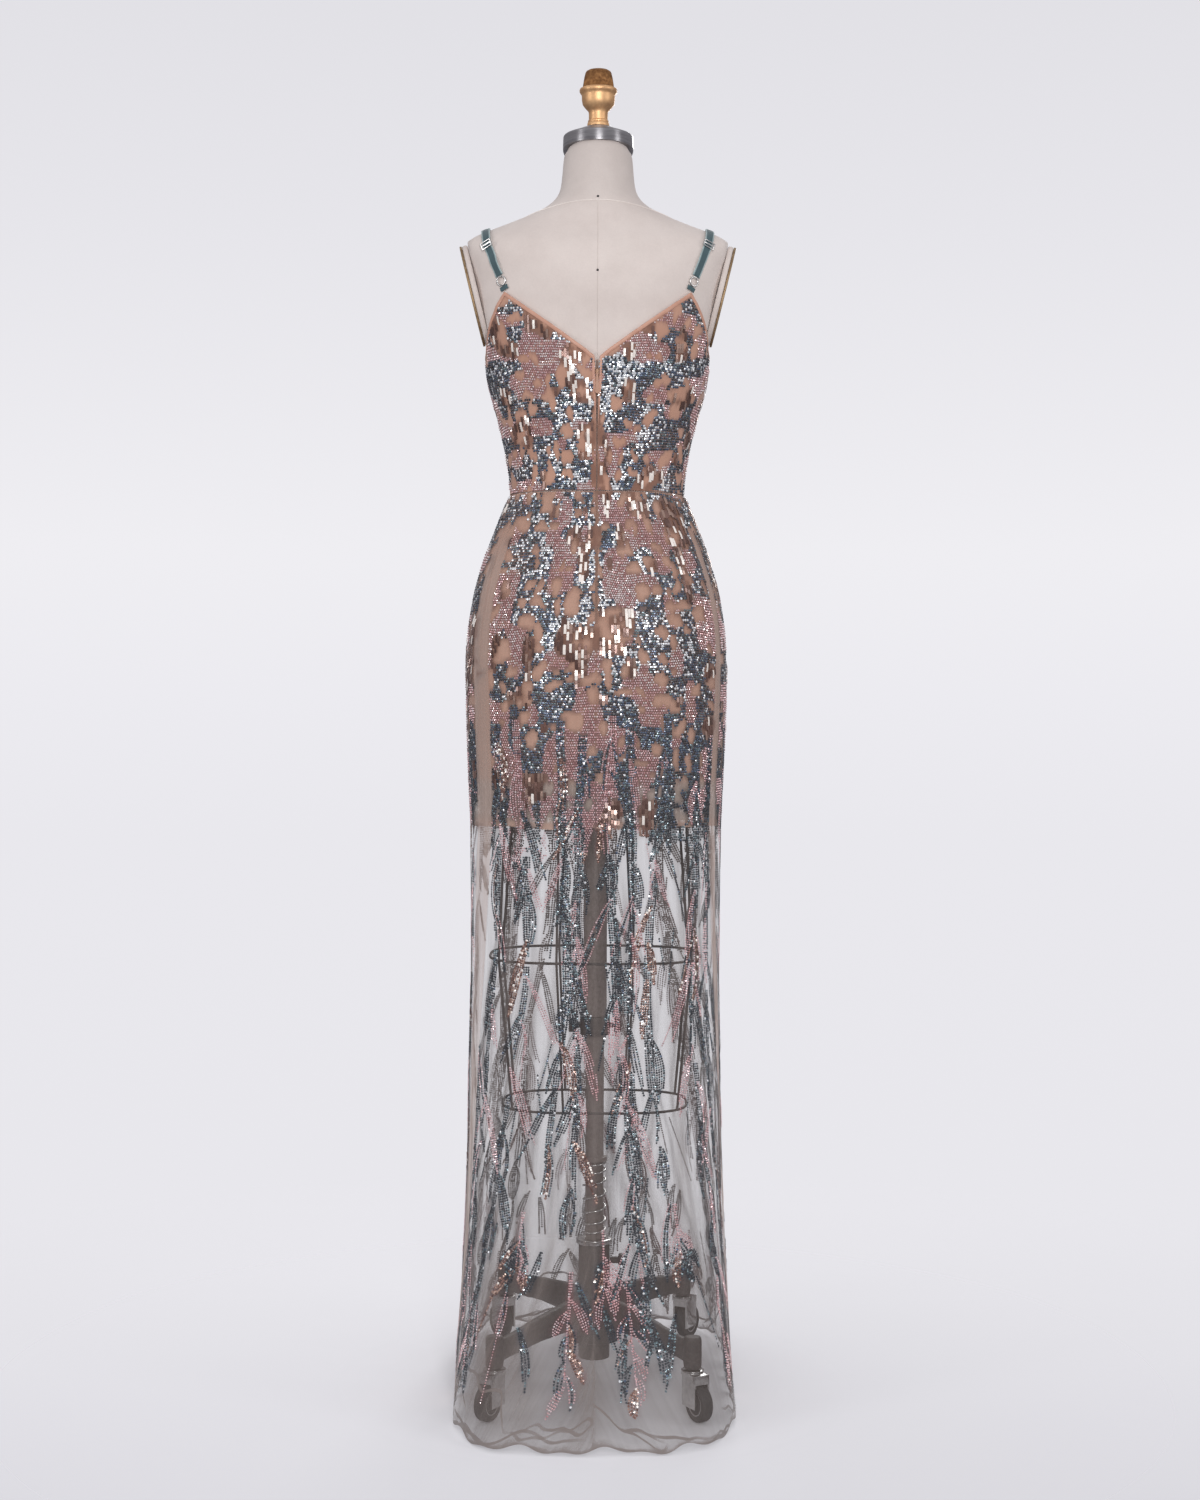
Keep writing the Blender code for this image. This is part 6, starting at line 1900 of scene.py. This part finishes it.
side_way = unit(np.cross(foil_up, foil_facing))
foil_up = unit(foil_up)
grouped = (lean_across.at(foil_angle, foil_height) - 0.5)[:, None] * side_way
grouped = grouped + (lean_up.at(foil_angle, foil_height) - 0.5)[:, None] * foil_up
foil_facing = unit(foil_facing + 0.30 * grouped + foil_rng.normal(0, 0.05, foil_facing.shape))
# Painted flashes: pale strips are set thicker in the middle of back and front.
near_middle = np.exp(-((np.sin(foil_angle) / 0.85) ** 2)) * smoothstep(0.90, 1.02, foil_height)
flash = Cloud(16, 0.034, 0.040).at(foil_angle, foil_height) > 0.44
painted_flash = foil_rng.random(len(foil_angle)) < 0.08 + (0.20 + 0.30 * flash) * near_middle
foil_lot = np.where(painted_flash, 3, foil_rng.choice(3, len(foil_angle), p=[0.36, 0.40, 0.24]))
foil_tree, foil_sockets = foil_setter(DYES[BRONZE])
bow = {foil_sockets["Bow"]: 0.45 * MM}
for key, inside in by_panel(foil_angle, foil_height).items():
    attributes = {
        "facing": ("FLOAT_VECTOR", foil_facing[inside]),
        "up": ("FLOAT_VECTOR", foil_up[inside]),
        "size": ("FLOAT", foil_rng.uniform(0.82, 1.05, int(inside.sum()))),
        "lot": ("INT", foil_lot[inside]),
    }
    piece = set_on_points(f"foil_{key}", foil_tree, bow, foil_spots[inside], attributes)
    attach(piece, "form")
    bead_pieces[key].append(piece)
print("foil strips:", len(foil_angle))

# %% [markdown]
# ## Velvet straps
#
# The straps are narrow velvet ribbon. Velvet is darkest where it faces the eye and pale along its
# edges, because pile lets light in from the side and sends it back at a slant; here that pale edge is
# painted in, as a painted sheen by the distance from the ribbon's middle. The solids give their way
# over the shoulders: each of their sections has six corners, so sorting the corners along the strap
# and taking them by sixes gives a centre, a width and a facing. A crowned ribbon is swept along these,
# finer than the solid, and it remembers how far each point is from the middle, for the painted sheen.

# %% Velvet


def velvet(name, middle, edge):
    """Silk velvet ribbon: deep and soft in the middle, and paler along its edges in a painted sheen."""
    made, tree, out = new_material(name)
    where = add(tree, "ShaderNodeTexCoord").outputs["Object"]
    across = point_values(tree, "across")[0]
    pile = add(tree, "ShaderNodeTexNoise", {"Vector": where, "Scale": 1500.0, "Detail": 2.0})
    crush = add(tree, "ShaderNodeTexNoise", {"Vector": where, "Scale": 90.0, "Detail": 3.0})
    # The pale edges are a painted sheen, by the distance from the ribbon's middle.
    edge_sheen = add(tree, "ShaderNodeMapRange", {"Value": across, "From Min": 0.62, "From Max": 0.86})
    nap = add(tree, "ShaderNodeMapRange", {"Value": crush, "To Min": 0.72, "To Max": 1.3})
    tone = {"Factor": edge_sheen, "A": linear(middle), "B": linear(edge)}
    tone = add(tree, "ShaderNodeMix", tone, data_type="RGBA")
    colour = {0: tone.outputs["Result"], "Scale": nap}
    shaded = add(tree, "ShaderNodeVectorMath", colour, operation="SCALE")
    bump = add(tree, "ShaderNodeBump", {"Height": pile, "Strength": 0.3, "Distance": 0.2 * MM})
    look = {"Base Color": shaded, "Roughness": 0.85, "Normal": bump}
    look.update({"Sheen Weight": 0.35, "Sheen Roughness": 0.35, "Specular IOR Level": 0.2})
    shader = add(tree, "ShaderNodeBsdfPrincipled", look)
    tree.links.new(shader.outputs[0], out.inputs["Surface"])
    return made


teal = velvet("teal_velvet_ribbon", "#4E6166", "#A3B3B4")

# %% Ribbons along the solids
RIBBON_SECTION = (  # share of the half width, height over the wall's middle in millimetres
    (-1.00, -0.35), (-1.00, 0.30), (-0.93, 0.52), (-0.80, 0.50), (-0.66, 0.62), (-0.33, 0.74),
    (0.00, 0.78), (0.33, 0.74), (0.66, 0.62), (0.80, 0.50), (0.93, 0.52), (1.00, 0.30),
    (1.00, -0.35), (0.50, -0.45), (-0.50, -0.45),
)


def node_sections(node_name, corners, order):
    """The sections of a swept solid, as groups of its corners sorted by order(point)."""
    spots = {tuple(round(c, 6) for c in v.co) for v in NODES[node_name].data.vertices}
    ranked = np.array(sorted(spots, key=order))
    whole = len(ranked) // corners * corners
    return ranked[:whole].reshape(-1, corners, 3)


def over_shoulder(point):
    """How far along the strap a point is: its direction from the middle of the shoulder."""
    return -math.atan2(point[2] - 1.44, point[1] - AXIS_Y)


def smooth_line(values, parts):
    """Cubic in-between points of a line of points."""
    padded = np.concatenate([2 * values[:1] - values[1:2], values, 2 * values[-1:] - values[-2:-1]])
    made = []
    for k in range(len(values) - 1):
        for t in np.arange(parts) / parts:
            made.append(cubic(*padded[k : k + 4], t))
    made.append(values[-1])
    return np.array(made)


def ribbon(name, node_name, sections, parts):
    middles = sections.mean(axis=1)
    across = []  # the longest axis of each section
    for section, middle in zip(sections, middles):
        _, _, axes = np.linalg.svd(section - middle)
        across.append(axes[0] * math.copysign(1.0, axes[0][0]))
    half = np.mean([np.ptp((s - m) @ a) / 2 for s, m, a in zip(sections, middles, across)])
    middles, across = smooth_line(middles, parts), smooth_line(np.array(across), parts)
    length = np.linalg.norm(np.diff(middles, axis=0), axis=1).sum()
    along = np.gradient(middles, axis=0)
    out = np.cross(across, along)
    if out[0] @ np.array([0.0, -1.0, 0.0]) < 0:
        out = -out
    out, across = unit(out), unit(across)
    section = np.array(RIBBON_SECTION)
    rings = middles[:, None, :] + across[:, None, :] * (section[None, :, :1] * half)
    rings = rings + out[:, None, :] * (section[None, :, 1:] * MM)
    made = mesh_piece(name, rings, tube_faces(len(rings), len(section)))
    point_outwards(made)
    keep_values(made.data, "across", np.tile(np.abs(section[:, 0]), len(rings)))
    dress(made, teal, "teal_velvet", node_name)
    return made, half, length


ribbons, finding_pieces = {}, {}
for word in ("left", "right"):
    sections = node_sections(f"strap_{word}", 6, over_shoulder)
    ribbons[f"strap_{word}"] = ribbon(f"strap_ribbon_{word}", f"strap_{word}", sections, 5)
    _, half, length = ribbons[f"strap_{word}"]
    print("strap", word, "half width", round(half / MM, 2), "mm, length", round(length, 3), "m")
    loop = broken_edges(f"strap_loop_{word}", 0.3 * MM)
    dress(loop, teal, "teal_velvet", f"strap_loop_{word}")
    finding_pieces[word] = [loop]

# %% [markdown]
# ## Rings and strap sliders
#
# The ring is round wire and the slider is a stamped frame with two slots, both nickel plated. A circle
# through the ring solid's corners gives its centre and its plane.

# %% Rings and sliders
RING_WIRE_R = 1.1 * MM
for word in ("left", "right"):
    corners = np.array([tuple(v.co) for v in NODES[f"ring_{word}"].data.vertices])
    middle = (corners.max(axis=0) + corners.min(axis=0)) / 2
    _, _, axes = np.linalg.svd(corners - corners.mean(axis=0), full_matrices=False)
    radius = np.abs((corners - middle) @ axes[0]).max() - RING_WIRE_R
    steps = np.arange(40) * TAU / 40
    circle = middle + radius * (np.outer(np.cos(steps), axes[0]) + np.outer(np.sin(steps), axes[1]))
    ring = wire(f"strap_ring_{word}", circle.tolist(), RING_WIRE_R, cyclic=True, sides=12)
    dress(ring, nickel, "silver_metal", f"ring_{word}")
    slider = broken_edges(f"strap_slider_{word}", 0.35 * MM)
    dress(slider, nickel, "silver_metal", f"strap_slider_{word}")
    finding_pieces[word] += [ring, slider]
    print("ring", word, "radius", round(radius / MM, 2), "mm")

# %% [markdown]
# ## The concealed zip
#
# Two tapes meet behind the cloth's two lips, and a row of coil teeth closes them. All that shows is a
# narrow dark valley, with the teeth's fine pitch in it. The tape is a strip a little behind the cloth,
# and the teeth are short rods set on a line of points by a small tree. The slider stays at the V, and
# its tab hangs from it on its own hinge.

# %% Tape and teeth
ZIP_FOOT_Z, ZIP_TOP_Z = (corner.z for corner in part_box("zip_coil"))
TOOTH_PITCH, TOOTH_R = 1.7 * MM, 0.45 * MM
zip_tape_look = satin("zip_tape_weave", "#8A6A5B", "#76574A")
zip_nylon = metal("coil_nylon", "#7C6257", "#5F483F", 0.45, grain=300.0, metallic=0.0)
pull_enamel = metal("nude_enamel", "#BC917A", "#AD826C", 0.50, grain=120.0, metallic=0.0)
slider_zinc = metal("bronzed_zinc", "#8C705E", "#6F5546", 0.48, grain=160.0)


def zip_line(height, behind):
    """Points on the centre back, a distance behind the cloth."""
    return place(np.zeros_like(height), height, gown_reach(np.zeros_like(height), height) - behind)


tape_height = np.linspace(ZIP_FOOT_Z + 0.001, ZIP_TOP_Z - 0.001, 120)
tape_middle = zip_line(tape_height, 1.1 * MM)
tape_section = np.array([(-1.7, 0.0, 0.0), (-1.7, 0.3, 0.0), (1.7, 0.3, 0.0), (1.7, 0.0, 0.0)]) * MM
tape_rings = tape_middle[:, None, :] + tape_section
tape = mesh_piece("zip_tape", tape_rings, tube_faces(len(tape_height), 4), smooth=False)
point_outwards(tape)
dress(tape, zip_tape_look, "zip_nylon", "zip_coil")


def tooth_setter(material):
    """Geometry Nodes: one short rounded rod on each point, lying across the zip."""
    tree, given, _ = setter_tree("set_teeth")
    rod = {"Vertices": 6, "Radius": TOOTH_R, "Depth": 2.3 * MM}
    rod = add(tree, "GeometryNodeMeshCylinder", rod, fill_type="NGON").outputs["Mesh"]
    across = add(tree, "FunctionNodeEulerToRotation", {"Euler": (0.0, math.pi / 2, 0.0)}).outputs[0]
    real = real_copies(tree, given["Points"], rod, across)
    done = add(tree, "GeometryNodeSetMaterial", {"Geometry": real, "Material": material})
    add(tree, "NodeGroupOutput", {0: done})
    return tree


tooth_height = np.arange(ZIP_FOOT_Z + 0.002, ZIP_TOP_Z - 0.002, TOOTH_PITCH)
teeth = set_on_points("zip_teeth", tooth_setter(zip_nylon), {}, zip_line(tooth_height, 0.55 * MM), {})
dress(teeth, zip_nylon, "zip_nylon", "zip_coil")
zip_slider = broken_edges("zip_slider", 0.4 * MM)
dress(zip_slider, slider_zinc, "zip_nylon", "zip_slider")
zip_pull = broken_edges("zip_pull", 0.3 * MM)
dress(zip_pull, pull_enamel, "zip_nylon", "zip_pull")
print("zip teeth:", len(tooth_height))

# %% [markdown]
# ## Seams and pins of the form
#
# The linen cover is sewn from panels. Its seams are pressed flat, so all that shows is a fine raised
# line at the neck, at the centre front and back and over the shoulders. Rays at the torso lay each
# line on it. Two black pin heads mark the nape and the shoulder blades' level.

# %% Lines on the torso
torso_tree = BVHTree.FromPolygons(
    [v.co.copy() for v in torso.data.vertices], [tuple(p.vertices) for p in torso.data.polygons]
)
seam_thread = linen("seam_thread_linen", "#D6CBC4", "#C9BDB6")
neck_cord = linen("neck_seam_cord", "#F4ECE6", "#E6DCD5")
pin_black = metal("black_pin_enamel", "#1E1D1E", "#121112", 0.35, grain=60.0, metallic=0.0)
SEAM_R = 0.30 * MM


def onto_torso(start, ahead, lift=0.0):
    spot, normal, _, _ = torso_tree.ray_cast(Vector(start), Vector(ahead).normalized(), 2.0)
    return None if spot is None else spot + normal * lift


def neck_seam_points():
    """Round the neck's root, on a plane that dips to the front."""
    made = []
    for k in range(96):
        turn = k * TAU / 96
        out = Vector((math.sin(turn), -math.cos(turn), 0.0))
        reach = 0.065
        for _ in range(6):
            height = 1.6065 - 0.32 * (0.058 - math.cos(turn) * reach)
            centre = Vector((0.0, AXIS_Y + 0.004, height))
            spot = onto_torso(centre + out * 0.5, -out, 0.15 * MM)
            reach = (spot - centre).length
        made.append(tuple(spot))
    return made


def laid(starts, ahead):
    """Where rays from the starts meet the torso, a thread's thickness off it."""
    spots = (onto_torso(start, ahead, 0.1 * MM) for start in starts)
    return [tuple(spot) for spot in spots if spot is not None]


def upright_seam(face, low, high, count=60):
    heights = [low + (high - low) * k / (count - 1) for k in range(count)]
    return laid([(0.0, -face, height) for height in heights], (0.0, face, 0.0))


def shoulder_seam(side, count=40):
    starts = []
    for k in range(count):
        x = side * (0.058 + (0.176 - 0.058) * k / (count - 1))
        starts.append((x, AXIS_Y + 0.004 - 0.010 * k / count, 2.0))
    return laid(starts, (0, 0, -1))


def seam_piece(name, points, cyclic=False, radius=SEAM_R, look=seam_thread):
    piece = wire(name, points, radius, cyclic=cyclic, sides=8)
    return dress(piece, look, "form_linen")


seam_piece("neck_seam", neck_seam_points(), cyclic=True, radius=0.75 * MM, look=neck_cord)
seam_piece("centre_back_seam", upright_seam(1.0, 1.352, 1.603))
seam_piece("centre_front_seam", upright_seam(-1.0, 1.352, 1.565))
for side, word in ((-1, "left"), (1, "right")):
    seam_piece(f"shoulder_seam_{word}", shoulder_seam(side))
# radius and height of a pin's head
PIN_HEAD = ((0.0004, 0.0012), (0.0011, 0.0010), (0.0016, 0.0004), (0.0017, -0.0002), (0.0012, -0.0008))
for name, height in (("nape_pin", 1.6120), ("blade_pin", 1.5040)):
    spot = onto_torso((0.0, -1.0, height), (0.0, 1.0, 0.0))
    pin = lathe(name, PIN_HEAD, tuple(spot), axis=(0.0, -1.0, 0.0), sides=16)
    dress(pin, pin_black, "neck_cap_steel")
print("seams and pins laid on the torso")

# %% [markdown]
# ## What each ribbon was cut to
#
# Each strap ribbon says the size that it was cut to before it was stretched or hung; the lining and
# bodice panels said theirs where they were made.

# %% Printing the ribbons' cut sizes
for key, (piece, half, length) in ribbons.items():
    print(key, "cut", round(2 * half, 4), "x", round(length, 3), "m")
